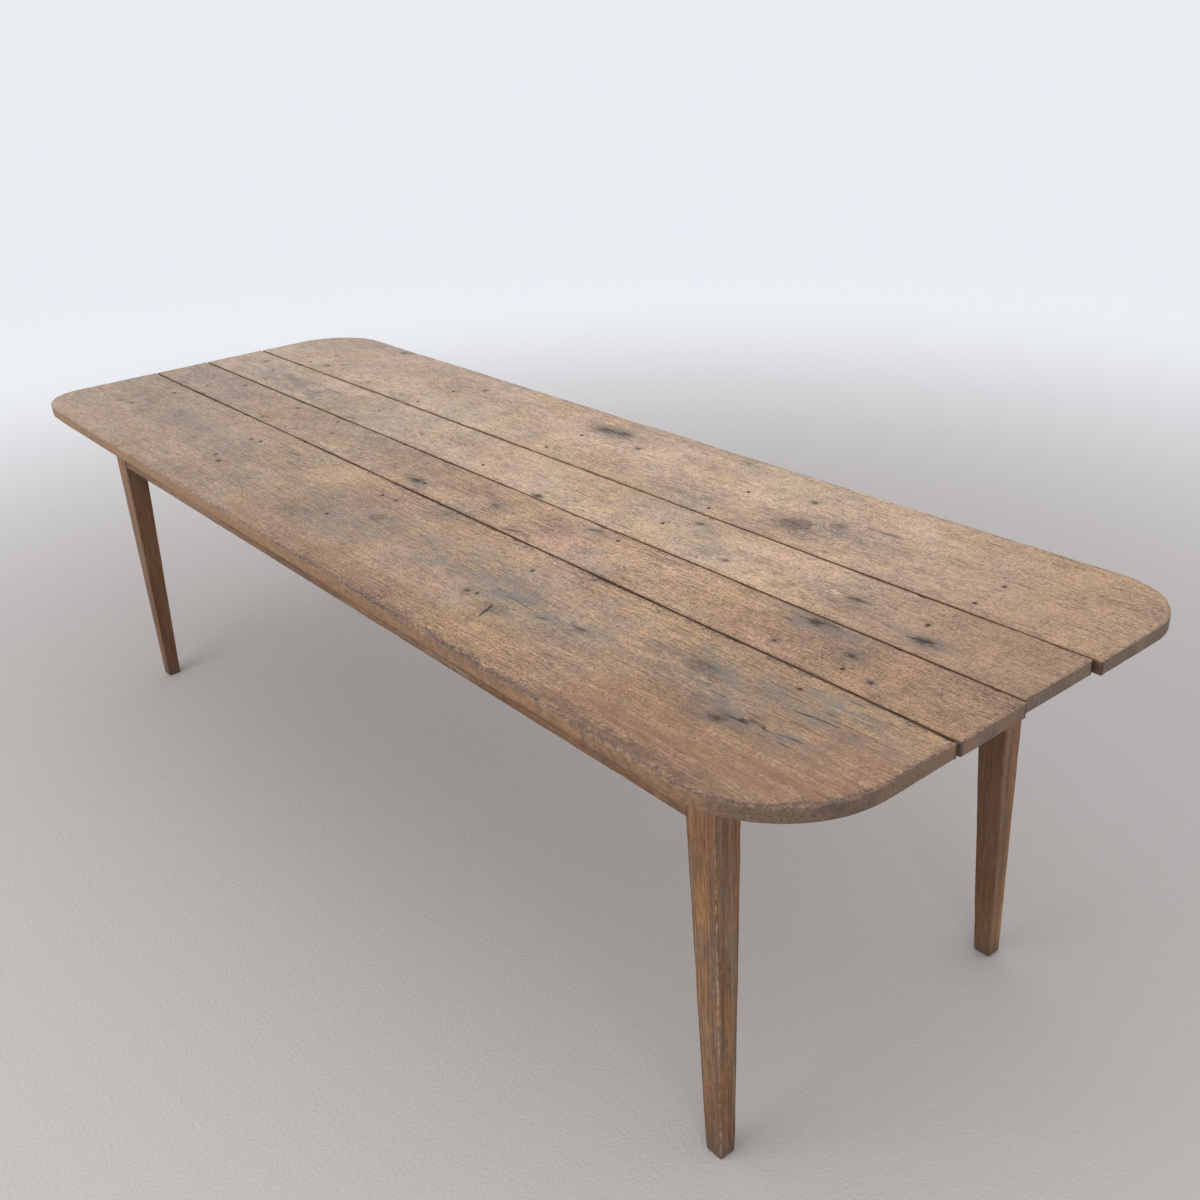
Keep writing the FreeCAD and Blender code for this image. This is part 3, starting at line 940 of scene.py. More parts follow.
class Pen:
    """Writes a material's node tree: each method adds a node and gives what it puts out."""

    bump_share = 0.7

    def __init__(self, name: str) -> None:
        """Start an empty material.

        Args:
            name: Name of the material.
        """
        self.material = bpy.data.materials.new(name)
        self.material.use_nodes = True
        self.tree = self.material.node_tree
        self.tree.nodes.clear()

    def add(self, kind: str, inputs: dict, **settings: object) -> bpy.types.Node:
        """Add a node and feed its inputs.

        Args:
            kind: Type of the node.
            inputs: Flows, sockets or plain values by the input's number or name.
            settings: Values of the node's own settings.

        Returns:
            The new node.
        """
        node = self.tree.nodes.new(kind)
        for name, value in settings.items():
            setattr(node, name, value)
        for key, value in inputs.items():
            self.feed(node.inputs[key], value)
        return node

    def feed(self, socket: bpy.types.NodeSocket, value: object) -> None:
        """Link a flow or socket to an input, or set the input's own value.

        Args:
            socket: The input.
            value: Flow, socket, number, vector or colour.
        """
        if isinstance(value, Flow):
            value = value.socket
        if isinstance(value, bpy.types.NodeSocket):
            self.tree.links.new(value, socket)
        elif isinstance(value, tuple) and socket.type == "RGBA":
            socket.default_value = (*value, 1.0)
        else:
            socket.default_value = value

    def place(self) -> bpy.types.NodeSocket:
        """Give the place on the object."""
        return self.add("ShaderNodeTexCoord", {}).outputs["Object"]

    def normal(self) -> tuple[Flow, Flow, Flow]:
        """Give the parts of the surface's outward direction."""
        return self.split(self.add("ShaderNodeNewGeometry", {}).outputs["Normal"])

    def mark(self, name: str) -> tuple[Flow, Flow, Flow]:
        """Give the three parts of a vector that is kept at the mesh's points."""
        node = self.add("ShaderNodeAttribute", {}, attribute_name=name)
        return self.split(node.outputs["Vector"])

    def split(self, vector: bpy.types.NodeSocket) -> tuple[Flow, Flow, Flow]:
        """Split a vector into its parts."""
        node = self.add("ShaderNodeSeparateXYZ", {0: vector})
        return Flow(self, node.outputs[0]), Flow(self, node.outputs[1]), Flow(self, node.outputs[2])

    def join(self, x: Value, y: Value, z: Value) -> bpy.types.NodeSocket:
        """Join three numbers into a vector."""
        return self.add("ShaderNodeCombineXYZ", {0: x, 1: y, 2: z}).outputs[0]

    def noise(
        self, place: bpy.types.NodeSocket, cycles: tuple[float, float, float],
        detail: float = 2.0, shift: float = 0.0, rough: float = 0.5,
    ) -> Flow:
        """Add cloudy noise.

        Args:
            place: Where the noise is read.
            cycles: Cycles per metre along each axis.
            detail: Number of finer octaves.
            shift: Move along each axis in cycles, which sets noises apart.
            rough: Strength of each finer octave against the one before.

        Returns:
            The noise, about 0.5 on average.
        """
        scaled = self.add("ShaderNodeVectorMath", {0: place, 1: cycles}, operation="MULTIPLY")
        moved = self.add(
            "ShaderNodeVectorMath", {0: scaled.outputs[0], 1: (shift, shift, shift)}, operation="ADD")
        node = self.add("ShaderNodeTexNoise", {
            "Vector": moved.outputs[0], "Scale": 1.0, "Detail": detail, "Roughness": rough})
        return Flow(self, node.outputs[0])

    def chance(self, value: Flow) -> Flow:
        """Give a random number for each whole number."""
        node = self.add("ShaderNodeTexWhiteNoise", {"W": value.do("FLOOR")}, noise_dimensions="1D")
        return Flow(self, node.outputs["Value"])

    def mix(self, share: Value, first: object, second: object) -> bpy.types.NodeSocket:
        """Mix two colours."""
        node = self.add("ShaderNodeMix", {0: share, 6: first, 7: second}, data_type="RGBA")
        return node.outputs[2]

    def shade(self, colour: object, gain: Flow) -> bpy.types.NodeSocket:
        """Brighten or darken a colour by a factor."""
        return self.add("ShaderNodeVectorMath", {0: colour, "Scale": gain}, operation="SCALE").outputs[0]

    def finish(self, colour: object, roughness: object, height: Flow, depth: float, **plain: float) -> None:
        """End the tree with a principled surface and a bump.

        Args:
            colour: Base colour.
            roughness: Roughness.
            height: Height of the bump, as a share of its depth.
            depth: Depth of the bump in metres.
            plain: Values set on the surface's own sockets, by socket name with spaces as underscores.
        """
        bump = self.add("ShaderNodeBump", {"Strength": self.bump_share, "Distance": depth, "Height": height})
        surface = self.add("ShaderNodeBsdfPrincipled", {
            "Base Color": colour, "Roughness": roughness, "Normal": bump.outputs[0]})
        for name, value in plain.items():
            surface.inputs[name.replace("_", " ")].default_value = value
        self.add("ShaderNodeOutputMaterial", {0: surface.outputs[0]})


@dataclass(frozen=True)
class TopFinish:
    """Weathered, scrubbed top wood, with its heart line and its own two ground colours."""

    name: str
    heart_y: float
    heart_z: float
    heart_slope: float
    pale: Colour
    deep: Colour
    # Strength of the painted shade laid over the near end.
    near_shade_share: float = 0.0
    contrast: float = 1.0
    ring_pitch: float = 0.0046
    ring_drift: float = 0.075
    ring_sag: float = 0.060
    ring_quiver: float = 0.016
    knot_push: float = 0.007
    bump_depth: float = 0.0008
    # Where along the plank the far end's bleaching and painted sheen fade out, and where the near end's
    # painted shade comes in.
    bleach_and_sheen_along: tuple[float, float] = (-1.3, 0.5)
    near_shade_along: tuple[float, float] = (0.70, 1.25)
    late: Colour = (0.150, 0.083, 0.050)
    umber: Colour = (0.180, 0.100, 0.058)
    plum: Colour = (0.175, 0.103, 0.080)
    warm: Colour = (0.470, 0.300, 0.145)
    rose: Colour = (0.400, 0.238, 0.168)
    grey: Colour = (0.270, 0.215, 0.172)
    slate: Colour = (0.165, 0.152, 0.138)
    dark: Colour = (0.070, 0.045, 0.035)
    red: Colour = (0.215, 0.105, 0.055)
    # Paler, greyer colour of the far end: partly bleaching, partly a painted sheen of grazing light.
    bleach_and_sheen: Colour = (0.350, 0.285, 0.240)
    crumb: Colour = (0.480, 0.320, 0.220)
    knot_brown: Colour = (0.180, 0.104, 0.066)
    # Darker, warmer colour of the painted shade at the near end.
    near: Colour = (0.300, 0.176, 0.102)
    edge: Colour = (0.272, 0.143, 0.062)
    end_grain: Colour = (0.050, 0.033, 0.019)
    gap: Colour = (0.018, 0.012, 0.009)

    def material(self) -> bpy.types.Material:
        """Paint the layers of the finish from the ground up.

        Returns:
            The material.
        """
        paint = TopPaint(self)
        paint.ground()
        paint.stains()
        paint.knots()
        paint.cracks()
        paint.edges()
        return paint.done()


@dataclass(frozen=True)
class PaleTopFinish(TopFinish):
    """The top wood of the two paler planks, with lighter clouds."""

    plum: Colour = (0.279, 0.177, 0.135)
    warm: Colour = (0.577, 0.386, 0.200)
    rose: Colour = (0.521, 0.330, 0.237)
    grey: Colour = (0.372, 0.293, 0.228)


class TopPaint:
    """Paints one plank, layer over layer, and adds up the height of its bump as it goes."""

    def __init__(self, finish: TopFinish) -> None:
        """Read the plank's marks and make the noises that several layers share.

        Args:
            finish: Colours and sizes of the finish.
        """
        self.finish = finish
        self.pen = pen = Pen(finish.name)
        self.place = pen.place()
        self.x, self.y, self.z = pen.split(self.place)
        self.rim, self.nail, self.knot_near = pen.mark("wear")
        self.seam, self.ragged, self.knot_dark = pen.mark("edge")
        self.knot_u, self.knot_v, _ = pen.mark("knot_place")
        self.fibre = self.noise(26.0, 330.0, 2.0, 0.0, 0.6)
        self.streak = self.noise(2.6, 80.0, 4.0, 1.7, 0.65)
        self.blot = self.noise(9.0, 12.0, 6.0, 9.4, 0.62)
        self.grit = self.noise(70.0, 105.0, 4.0, 2.2, 0.80)
        self.crust = self.noise(190.0, 270.0, 2.0, 11.8, 0.7)
        self.grey, self.dark, self.red = pen.mark("stains")
        self.colour: object = finish.pale
        self.height = self.fibre * 0.3 + self.grit

    def noise(self, along: float, across: float, detail: float, shift: float, rough: float = 0.5) -> Flow:
        """Add noise with its own cycles per metre along and across the plank."""
        return self.pen.noise(self.place, (along, across, across), detail, shift, rough)

    def cover(self, share: Value, colour: Colour) -> None:
        """Lay a share of a colour over what is there."""
        self.colour = self.pen.mix(share, self.colour, colour)

    def knot_away(self) -> Flow:
        """Give the distance from the nearest knot's middle, in its own half sizes."""
        return (self.knot_u * self.knot_u + self.knot_v * self.knot_v).do("SQRT")

    def ring_lines(self) -> Flow:
        """Draw the late wood of growth rings that bend round the knots, and fade in and out over the plank.

        The rings are circles round a heart line below the plank, which drifts and slopes along it.

        Returns:
            The strength of the late wood, from 0 to 1.
        """
        finish = self.finish
        drift_y = (self.noise(0.9, 2.2, 2.0, 0.6) - 0.5) * finish.ring_drift
        drift_z = (self.noise(1.0, 2.6, 2.0, 7.3) - 0.5) * finish.ring_sag
        quiver = (self.noise(11.0, 26.0, 3.0, 3.1) - 0.5) * finish.ring_quiver
        from_y = self.y + drift_y - finish.heart_y
        from_z = self.z + drift_z + self.x * finish.heart_slope - finish.heart_z
        away = self.knot_away()
        swell = (away * away * -0.30).do("EXPONENT") * self.knot_near
        radius = (from_y * from_y + from_z * from_z).do("SQRT") + quiver + swell * finish.knot_push
        phase = radius / finish.ring_pitch
        tooth = phase.do("FRACT")
        line = tooth.ramp(0.42, 0.84) * tooth.ramp(0.86, 1.0).inverse()
        shown = self.noise(3.4, 8.0, 4.0, 18.9, 0.6).ramp(0.42, 0.56)
        return line * (self.pen.chance(phase) * 0.6 + 0.4) * (shown * 0.95 + 0.05)

    def ground(self) -> None:
        """Lay the ground: tone, cloudy mottling of hue and light, growth rings, dirt, bleaching and painted
        sheen at the far end, and painted shade at the near end.
        """
        finish = self.finish
        late = self.ring_lines()
        tone = self.noise(1.6, 4.0, 4.0, 5.9, 0.65)
        hue = self.noise(3.2, 4.2, 7.0, 12.7, 0.80)
        glow = self.noise(3.8, 4.8, 6.0, 15.3, 0.75)
        mottle = self.noise(3.8, 4.6, 8.0, 21.3, 1.0)
        self.cover(tone.ramp(0.38, 0.62), finish.deep)
        self.cover(self.streak.ramp(0.50, 0.72) * 0.12, finish.umber)
        self.cover(glow.ramp(0.46, 0.58) * 0.62, finish.warm)
        self.cover(self.noise(4.4, 5.6, 6.0, 27.1, 0.75).ramp(0.46, 0.58) * 0.58, finish.rose)
        self.cover(hue.ramp(0.46, 0.60) * 0.58, finish.grey)
        self.cover(hue.ramp(0.38, 0.48).inverse() * 0.34, finish.plum)
        self.cover(late * 0.60, finish.late)
        self.cover(self.fibre.ramp(0.54, 0.70) * 0.12, finish.late)
        pit = self.noise(85.0, 140.0, 2.0, 6.6).ramp(0.67, 0.75)
        self.cover(pit * 0.75, finish.dark)
        crumb = self.red * 0.50 + self.ragged * self.rim * 0.60 + 0.15
        self.cover((self.crust.ramp(0.50, 0.66) * crumb).limit(), finish.umber)
        self.cover((self.crust.ramp(0.34, 0.48).inverse() * crumb * 0.8).limit(), finish.pale)
        # Paler and greyer towards the far end: partly bleaching, partly a painted sheen of grazing light.
        self.cover(self.x.ramp(*finish.bleach_and_sheen_along).inverse() * 0.40, finish.bleach_and_sheen)
        # Painted shade: darker and warmer towards the near end.
        self.cover(self.x.ramp(*finish.near_shade_along) * finish.near_shade_share, finish.near)
        gain = (mottle - 0.5) * 2.0 + (self.grit - 0.5) * -1.1 + (self.crust - 0.5) * -1.6
        gain = gain + (self.fibre - 0.5) * -0.8 + (self.streak - 0.5) * -0.2 - late * 0.20
        gain = gain * finish.contrast + 1.0
        self.colour = self.pen.shade(self.colour, gain)
        self.height = self.height + self.crust * crumb * 2.2
        self.height = self.height - late * 0.4 - pit + self.blot * 0.8

    def stains(self) -> None:
        """Lay the grey, dark and red stains, broken up by the mottling; one red stain is painted shade on the
        near front corner.
        """
        finish = self.finish
        cloud = self.noise(16.0, 34.0, 5.0, 4.1, 0.65)
        specks = self.grit.ramp(0.4, 0.7)
        red = self.red * (self.streak.ramp(0.30, 0.62) * 0.7 + cloud.ramp(0.35, 0.65) * 0.5)
        grey = self.grey * (cloud.ramp(0.36, 0.66) * 0.9 + specks * 0.35)
        dark = self.dark * (cloud.ramp(0.38, 0.62) * 0.8 + specks * 0.4)
        self.cover(red.limit(), finish.red)
        self.cover(grey.limit(), finish.slate)
        self.cover(dark.limit(), finish.dark)

    def knots(self) -> None:
        """Lay the knots: a grey halo, a brown core with a ragged border, rings, cracks and a dark heart."""
        finish = self.finish
        crumble = (self.noise(70.0, 100.0, 5.0, 4.4, 0.75) - 0.5) * 1.4
        away = self.knot_away()
        edge = away + crumble
        halo = edge.ramp(0.9, 2.4).inverse() * self.knot_near
        core = edge.ramp(0.70, 1.05).inverse() * self.knot_near
        tear = self.noise(110.0, 150.0, 4.0, 8.2, 0.75).ramp(0.46, 0.58)
        smoke = halo * (self.knot_dark.ramp(0.45, 0.90) * 0.45 + 0.05) * self.grit * 1.6
        self.cover(smoke.limit(), finish.slate)
        self.cover(core * (self.knot_dark * 0.6 + 0.15), finish.knot_brown)
        ring = (away * 4.2 + crumble * 0.6).do("FRACT")
        ring = ring.ramp(0.45, 0.75) * ring.ramp(0.80, 1.0).inverse()
        self.cover((halo * ring * self.knot_dark * 0.9).limit(), finish.umber)
        self.cover((core * tear * self.knot_dark * 0.9).limit(), finish.dark)
        heart = edge.ramp(0.10, 0.55).inverse() * self.knot_near * self.knot_dark.ramp(0.5, 0.9)
        self.cover(heart.limit(), finish.gap)
        self.height = self.height - core * tear * 1.6 - heart * 1.2

    def cracks(self) -> None:
        """Lay the cracks, the fine splits along the grain and the dirt round the nails."""
        across, taper, near = self.pen.mark("crack_place")
        finish = self.finish
        wobble = (self.noise(24.0, 60.0, 4.0, 8.8, 0.6) - 0.5) * 9.0
        crack = ((across + wobble).do("ABSOLUTE") - taper).ramp(-0.5, 0.7).inverse()
        crack = crack * near * taper.ramp(0.0, 0.25) * self.blot.ramp(0.30, 0.50)
        self.cover(near * taper.ramp(0.0, 0.5) * self.blot.ramp(0.3, 0.7) * 0.30, finish.slate)
        self.cover(crack * 0.95, finish.gap)
        split = (self.noise(16.0, 230.0, 2.0, 6.1, 0.6) + self.grey * 0.05).ramp(0.64, 0.72)
        self.cover(split * 0.60, finish.dark)
        self.cover(self.nail.ramp(0.15, 1.0) * 0.70, finish.dark)
        self.height = self.height - crack * 2.5 - split * 1.4

    def edges(self) -> None:
        """Lay the worn rim, the sawn ends, the long edges, the dark seams and the underside."""
        finish = self.finish
        normal_x, _, normal_z = self.pen.normal()
        bruise = self.noise(38.0, 60.0, 4.0, 2.9, 0.75)
        zone = (self.rim + (bruise - 0.5) * 3.2).ramp(0.40, 0.85) * (self.ragged * 0.75 + 0.25)
        zone = zone * (self.noise(6.0, 9.0, 3.0, 31.3, 0.6).ramp(0.40, 0.60) * 0.65 + 0.35)
        self.cover(zone * (self.grit.ramp(0.34, 0.54) * 0.5 + 0.4), finish.plum)
        self.cover(zone * self.crust.ramp(0.46, 0.58) * 0.85, finish.dark)
        self.cover(zone * self.crust.ramp(0.36, 0.44).inverse() * 0.28, finish.crumb)
        self.cover(self.rim.ramp(0.65, 1.0) * (zone * 0.40 + 0.10), finish.dark)
        upright = normal_z.do("ABSOLUTE").ramp(0.30, 0.80).inverse()
        endward = normal_x.do("ABSOLUTE")
        on_end = endward.ramp(0.15, 0.60)
        side = self.pen.mix(self.streak.ramp(0.42, 0.70) * 0.6, finish.edge, finish.umber)
        side = self.pen.mix(self.grit.ramp(0.46, 0.70) * 0.45, side, finish.dark)
        side = self.pen.mix(self.dark * self.grit.ramp(0.36, 0.60), side, finish.dark)
        self.cover(upright * on_end.inverse() * 0.92, side)
        saw = self.pen.noise(self.place, (240.0, 240.0, 16.0), 3.0, 1.1, 0.6)
        sawn = self.pen.mix(saw.ramp(0.46, 0.62) * 0.8, finish.end_grain, finish.dark)
        sawn = self.pen.mix(self.blot.ramp(0.44, 0.60) * 0.5, sawn, finish.umber)
        sawn = self.pen.mix(saw.ramp(0.34, 0.44).inverse() * 0.22, sawn, finish.grey)
        sawn = self.pen.mix(self.crust.ramp(0.52, 0.66) * 0.6, sawn, finish.gap)
        sawn = self.pen.mix(endward.ramp(0.78, 1.0) * 0.10, sawn, finish.pale)
        self.cover(upright * on_end * 0.95, sawn)
        self.cover(self.seam, finish.gap)
        self.cover(normal_z.ramp(-0.9, -0.5).inverse() * 0.45, finish.umber)
        self.height = self.height + (saw - 0.5) * on_end * upright * 2.0
        self.height = self.height + (bruise + self.crust - 1.0) * zone * 3.0

    def done(self) -> bpy.types.Material:
        """Close the tree.

        Returns:
            The material.
        """
        roughness = self.fibre * 0.10 + self.grit * 0.10 + 0.50
        depth = self.finish.bump_depth
        self.pen.finish(self.colour, roughness, self.height, depth, Specular_IOR_Level=0.45)
        return self.pen.material


class Grain(Enum):
    """Which way a frame member's grain runs."""

    ALONG_X = 0
    ALONG_Y = 1
    ALONG_Z = 2


@dataclass(frozen=True)
class FrameFinish:
    """Red-brown frame wood, worn pale along its arrises and dirty at the feet, with painted shade on the
    legs' inner faces.
    """

    name: str
    grain: Grain
    light: Colour = (0.316, 0.155, 0.062)
    deep: Colour = (0.155, 0.071, 0.030)
    late: Colour = (0.080, 0.034, 0.014)
    patina: Colour = (0.196, 0.140, 0.084)
    worn: Colour = (0.400, 0.270, 0.175)
    grime: Colour = (0.075, 0.055, 0.042)
    ring_pitch: float = 0.0036
    ring_drift: float = 0.05
    ring_quiver: float = 0.006
    across_share: float = 0.74
    through_share: float = 0.67
    foot_height: float = 0.045
    bump_depth: float = 0.0005

    def material(self) -> bpy.types.Material:
        """Write the finish's node tree.

        Returns:
            The material.
        """
        pen = Pen(self.name)
        place = pen.place()
        parts = pen.split(place)
        along = parts[self.grain.value]
        across, through = (part for number, part in enumerate(parts) if number != self.grain.value)
        lined = pen.join(along, across, through)
        rim, outer, inner = pen.mark("wear")

        drift = (pen.noise(lined, (1.3, 6.0, 6.0), 2.0) - 0.5) * self.ring_drift
        quiver = (pen.noise(lined, (7.0, 40.0, 40.0), 2.0, shift=3.3) - 0.5) * self.ring_quiver
        depth = across * self.across_share + through * self.through_share + drift + quiver
        phase = depth / self.ring_pitch
        tooth = phase.do("FRACT")
        year = pen.chance(phase)
        late = tooth.ramp(0.2, 0.85) * tooth.ramp(0.88, 1.0).inverse()
        fibre = pen.noise(lined, (14.0, 700.0, 700.0), 3.0)
        streak = pen.noise(lined, (3.0, 120.0, 120.0), 4.0, shift=1.9, rough=0.6)
        tone = pen.noise(lined, (2.0, 16.0, 16.0), 3.0, shift=4.7)
        patch = pen.noise(lined, (11.0, 26.0, 26.0), 4.0, shift=8.1)

        colour = pen.mix(tone.ramp(0.36, 0.64), self.light, self.deep)
        colour = pen.mix(late * (year * 0.55 + 0.20), colour, self.late)
        colour = pen.mix(streak.ramp(0.46, 0.70) * 0.7, colour, self.late)
        colour = pen.mix(fibre.ramp(0.48, 0.70) * 0.6, colour, self.late)
        colour = pen.mix(patch.ramp(0.50, 0.68) * 0.55, colour, self.grime)
        film = pen.noise(lined, (1.8, 30.0, 30.0), 4.0, shift=10.4, rough=0.65)
        colour = pen.mix(film.ramp(0.50, 0.66) * 0.55, colour, self.patina)
        scuff = pen.noise(lined, (60.0, 150.0, 150.0), 4.0, shift=6.3, rough=0.68)
        colour = pen.mix(scuff.ramp(0.50, 0.66) * 0.45, colour, self.late)
        colour = pen.mix(scuff.ramp(0.32, 0.46).inverse() * 0.35, colour, self.light)
        vein = pen.noise(lined, (5.0, 300.0, 300.0), 4.0, shift=14.2, rough=0.75)
        colour = pen.shade(colour, (vein - 0.5) * -2.2 + 1.0)
        rub = rim * (film.ramp(0.42, 0.60) * (outer * 0.45 + 0.30)) * scuff.ramp(0.40, 0.60).inverse()
        colour = pen.mix(rub.limit(), colour, self.worn)
        # Painted shade: the legs' inner faces, in the shade under the top, are darkened with the late-wood
        # colour.
        colour = pen.mix(inner * 0.55, colour, self.late)
        foot = parts[2].ramp(0.0, self.foot_height).inverse()
        colour = pen.mix((foot * (patch * 0.8 + 0.35)).limit(), colour, self.grime)

        height = late * -0.4 + fibre * 0.6 + streak * 0.6 + patch * 0.5 + scuff
        roughness = fibre * 0.18 + 0.46
        pen.finish(colour, roughness, height, self.bump_depth, Specular_IOR_Level=0.42)
        return pen.material


@dataclass(frozen=True)
class IronFinish:
    """Forged nail iron, brown-black with rust."""

    name: str = "forged_iron"
    black: Colour = (0.030, 0.026, 0.024)
    rust: Colour = (0.105, 0.052, 0.028)
    bloom_cycles: float = 420.0
    pit_cycles: float = 1500.0
    bump_depth: float = 0.0002

    def material(self) -> bpy.types.Material:
        """Write the finish's node tree.

        Returns:
            The material.
        """
        pen = Pen(self.name)
        place = pen.place()
        bloom = pen.noise(place, (self.bloom_cycles,) * 3, 3.0)
        pits = pen.noise(place, (self.pit_cycles,) * 3, 2.0, shift=2.5)
        colour = pen.mix(bloom.ramp(0.4, 0.65), self.black, self.rust)
        pen.finish(colour, bloom * 0.3 + 0.45, pits, self.bump_depth, Metallic=0.4)
        return pen.material


@dataclass
class Top:
    """The four planks of the top, with their marks and nails."""

    slot: str = "top_wood"
    iron_slot: str = "nail_iron"
    rows: tuple[str, ...] = (
        "nails_left_end", "nails_left_bearer", "nails_middle_bearer", "nails_right_bearer", "nails_right_end")
    nail_seed: int = 40
    square: Radii = (0.003, 0.003, 0.003, 0.003)

    def nail_rows(self) -> list[NailRow]:
        """Give the rows of nails."""
        return [NailRow(name, seed=self.nail_seed + number) for number, name in enumerate(self.rows)]

    def front(self, nails: np.ndarray) -> tuple[Plank, TopFinish]:
        """Give the wide front plank, with its ragged near edge and its lifted far corner.

        Args:
            nails: Places of all the nails.

        Returns:
            The plank and its finish.
        """
        low, high = box_of("top_plank_front")
        plank = Plank(
            "front_plank", low, high, radii=(0.150, 0.190, 0.003, 0.003), seed=11, nails=nails,
            ragged_from=-0.80, ragged=0.0045, corner_lift=0.008, seams=(Edge.BACK,),
            knots=(
                Knot(0.566, -0.330, 0.034, 0.026, 0.12), Knot(0.482, -0.321, 0.008, 0.006, 0.9),
                Knot(0.731, -0.279, 0.014, 0.009, 0.4), Knot(0.080, -0.257, 0.022, 0.014, 0.45),
                Knot(-0.480, -0.331, 0.010, 0.006, 1.0), Knot(0.163, -0.155, 0.008, 0.006, 0.8),
                Knot(0.026, -0.185, 0.009, 0.006, 0.8), Knot(-0.568, -0.212, 0.009, 0.005, 0.7),
                Knot(1.066, -0.311, 0.022, 0.010, 0.8), Knot(0.944, -0.224, 0.024, 0.017, 0.5),
                Knot(0.986, -0.238, 0.014, 0.010, 0.3), Knot(-1.142, -0.303, 0.012, 0.008, 0.55),
            ),
            cracks=(
                Crack(1.050, -0.300, 1.110, -0.290, 0.0022), Crack(1.095, -0.282, 1.150, -0.290, 0.0024),
                Crack(1.135, -0.287, 1.195, -0.276, 0.0018), Crack(1.160, -0.298, 1.185, -0.294, 0.0012),
                Crack(-0.430, -0.196, -0.365, -0.184, 0.0014),
                Crack(0.582, -0.364, 0.556, -0.320, 0.0034),
                Crack(1.120, -0.222, 1.200, -0.214, 0.0014), Crack(-0.490, -0.334, -0.474, -0.327, 0.0030),
                Crack(0.640, -0.300, 0.672, -0.290, 0.0010),
            ),
            stains=(
                Stain(0.580, -0.295, 0.070, 0.050, 1.0), Stain(0.940, -0.222, 0.100, 0.050, 0.9),
                Stain(1.165, -0.190, 0.110, 0.050, 0.9), Stain(1.100, -0.285, 0.130, 0.030, 0.8),
                Stain(0.735, -0.275, 0.060, 0.035, 0.8), Stain(0.360, -0.262, 0.190, 0.055, 0.7),
                Stain(-1.150, -0.240, 0.120, 0.080, 0.55), Stain(-0.650, -0.270, 0.300, 0.090, 0.45),
                Stain(0.080, -0.250, 0.070, 0.040, 0.6), Stain(-0.150, -0.250, 0.150, 0.050, 0.40),
                Stain(-0.050, -0.310, 0.260, 0.070, 0.40),
                Stain(1.060, -0.310, 0.055, 0.024, 0.8, Hue.DARK),
                Stain(0.600, -0.450, 0.450, 0.010, 0.6, Hue.DARK),
                Stain(1.020, -0.440, 0.150, 0.020, 0.9, Hue.DARK),
                Stain(0.900, -0.250, 0.120, 0.050, 0.35, Hue.DARK),
                # Painted shade laid as a red stain: it darkens and warms the near front corner.
                Stain(1.280, -0.300, 0.200, 0.160, 0.75, Hue.RED),
                Stain(0.950, -0.380, 0.300, 0.080, 0.5, Hue.RED),
                Stain(0.200, -0.440, 0.500, 0.040, 0.4, Hue.RED),
                Stain(0.980, -0.432, 0.160, 0.028, 0.8, Hue.RED),
            ),
        )
        finish = TopFinish(
            "front_plank_wood", heart_y=0.060, heart_z=0.380, heart_slope=0.030, pale=(0.440, 0.270, 0.151),
            deep=(0.312, 0.183, 0.097), near_shade_share=0.45, near=(0.345, 0.205, 0.105))
        return plank, finish

    def inner_front(self, nails: np.ndarray) -> tuple[Plank, TopFinish]:
        """Give the narrow plank behind the front one.

        Args:
            nails: Places of all the nails.

        Returns:
            The plank and its finish.
        """
        low, high = box_of("top_plank_inner_front")
        plank = Plank(
            "inner_front_plank", low, high, radii=self.square, seed=23, nails=nails,
            knots=(
                Knot(-0.040, -0.094, 0.018, 0.014, 0.9), Knot(0.197, -0.065, 0.013, 0.010, 0.7),
                Knot(0.968, -0.006, 0.024, 0.014, 1.0), Knot(1.146, -0.093, 0.009, 0.007, 0.9),
                Knot(0.964, -0.094, 0.008, 0.006, 0.8), Knot(-1.010, -0.019, 0.009, 0.006, 0.7),
                Knot(-0.709, -0.021, 0.008, 0.005, 0.8), Knot(-0.462, -0.062, 0.009, 0.006, 0.7),
                Knot(-0.714, -0.113, 0.008, 0.005, 0.8), Knot(1.075, -0.052, 0.016, 0.009, 0.9),
            ),
            cracks=(
                Crack(0.290, -0.124, 0.345, -0.110, 0.0016), Crack(0.415, -0.020, 0.455, -0.002, 0.0016),
                Crack(0.930, -0.012, 1.010, 0.004, 0.0020), Crack(-0.075, -0.096, -0.010, -0.090, 0.0016),
                Crack(-0.620, -0.008, -0.585, -0.004, 0.0014),
            ),
            stains=(
                Stain(0.970, -0.005, 0.110, 0.030, 0.9), Stain(0.200, -0.060, 0.050, 0.030, 0.6),
                Stain(-0.040, -0.094, 0.060, 0.030, 0.7), Stain(-0.350, -0.010, 0.280, 0.028, 0.45),
                Stain(-0.600, -0.070, 0.220, 0.045, 0.20), Stain(0.420, -0.010, 0.060, 0.025, 0.6),
                Stain(0.060, -0.072, 0.050, 0.009, 0.90, Hue.RED),
                Stain(0.140, -0.040, 0.050, 0.010, 1.00, Hue.RED),
                Stain(1.060, -0.055, 0.060, 0.020, 0.6, Hue.DARK),
                Stain(0.880, -0.070, 0.110, 0.028, 0.5, Hue.RED),
            ),
        )
        finish = TopFinish(
            "inner_front_wood", heart_y=0.210, heart_z=0.500, heart_slope=0.012, pale=(0.494, 0.315, 0.198),
            deep=(0.341, 0.206, 0.123), near_shade_share=0.65, contrast=1.15, near=(0.300, 0.166, 0.088))
        return plank, finish

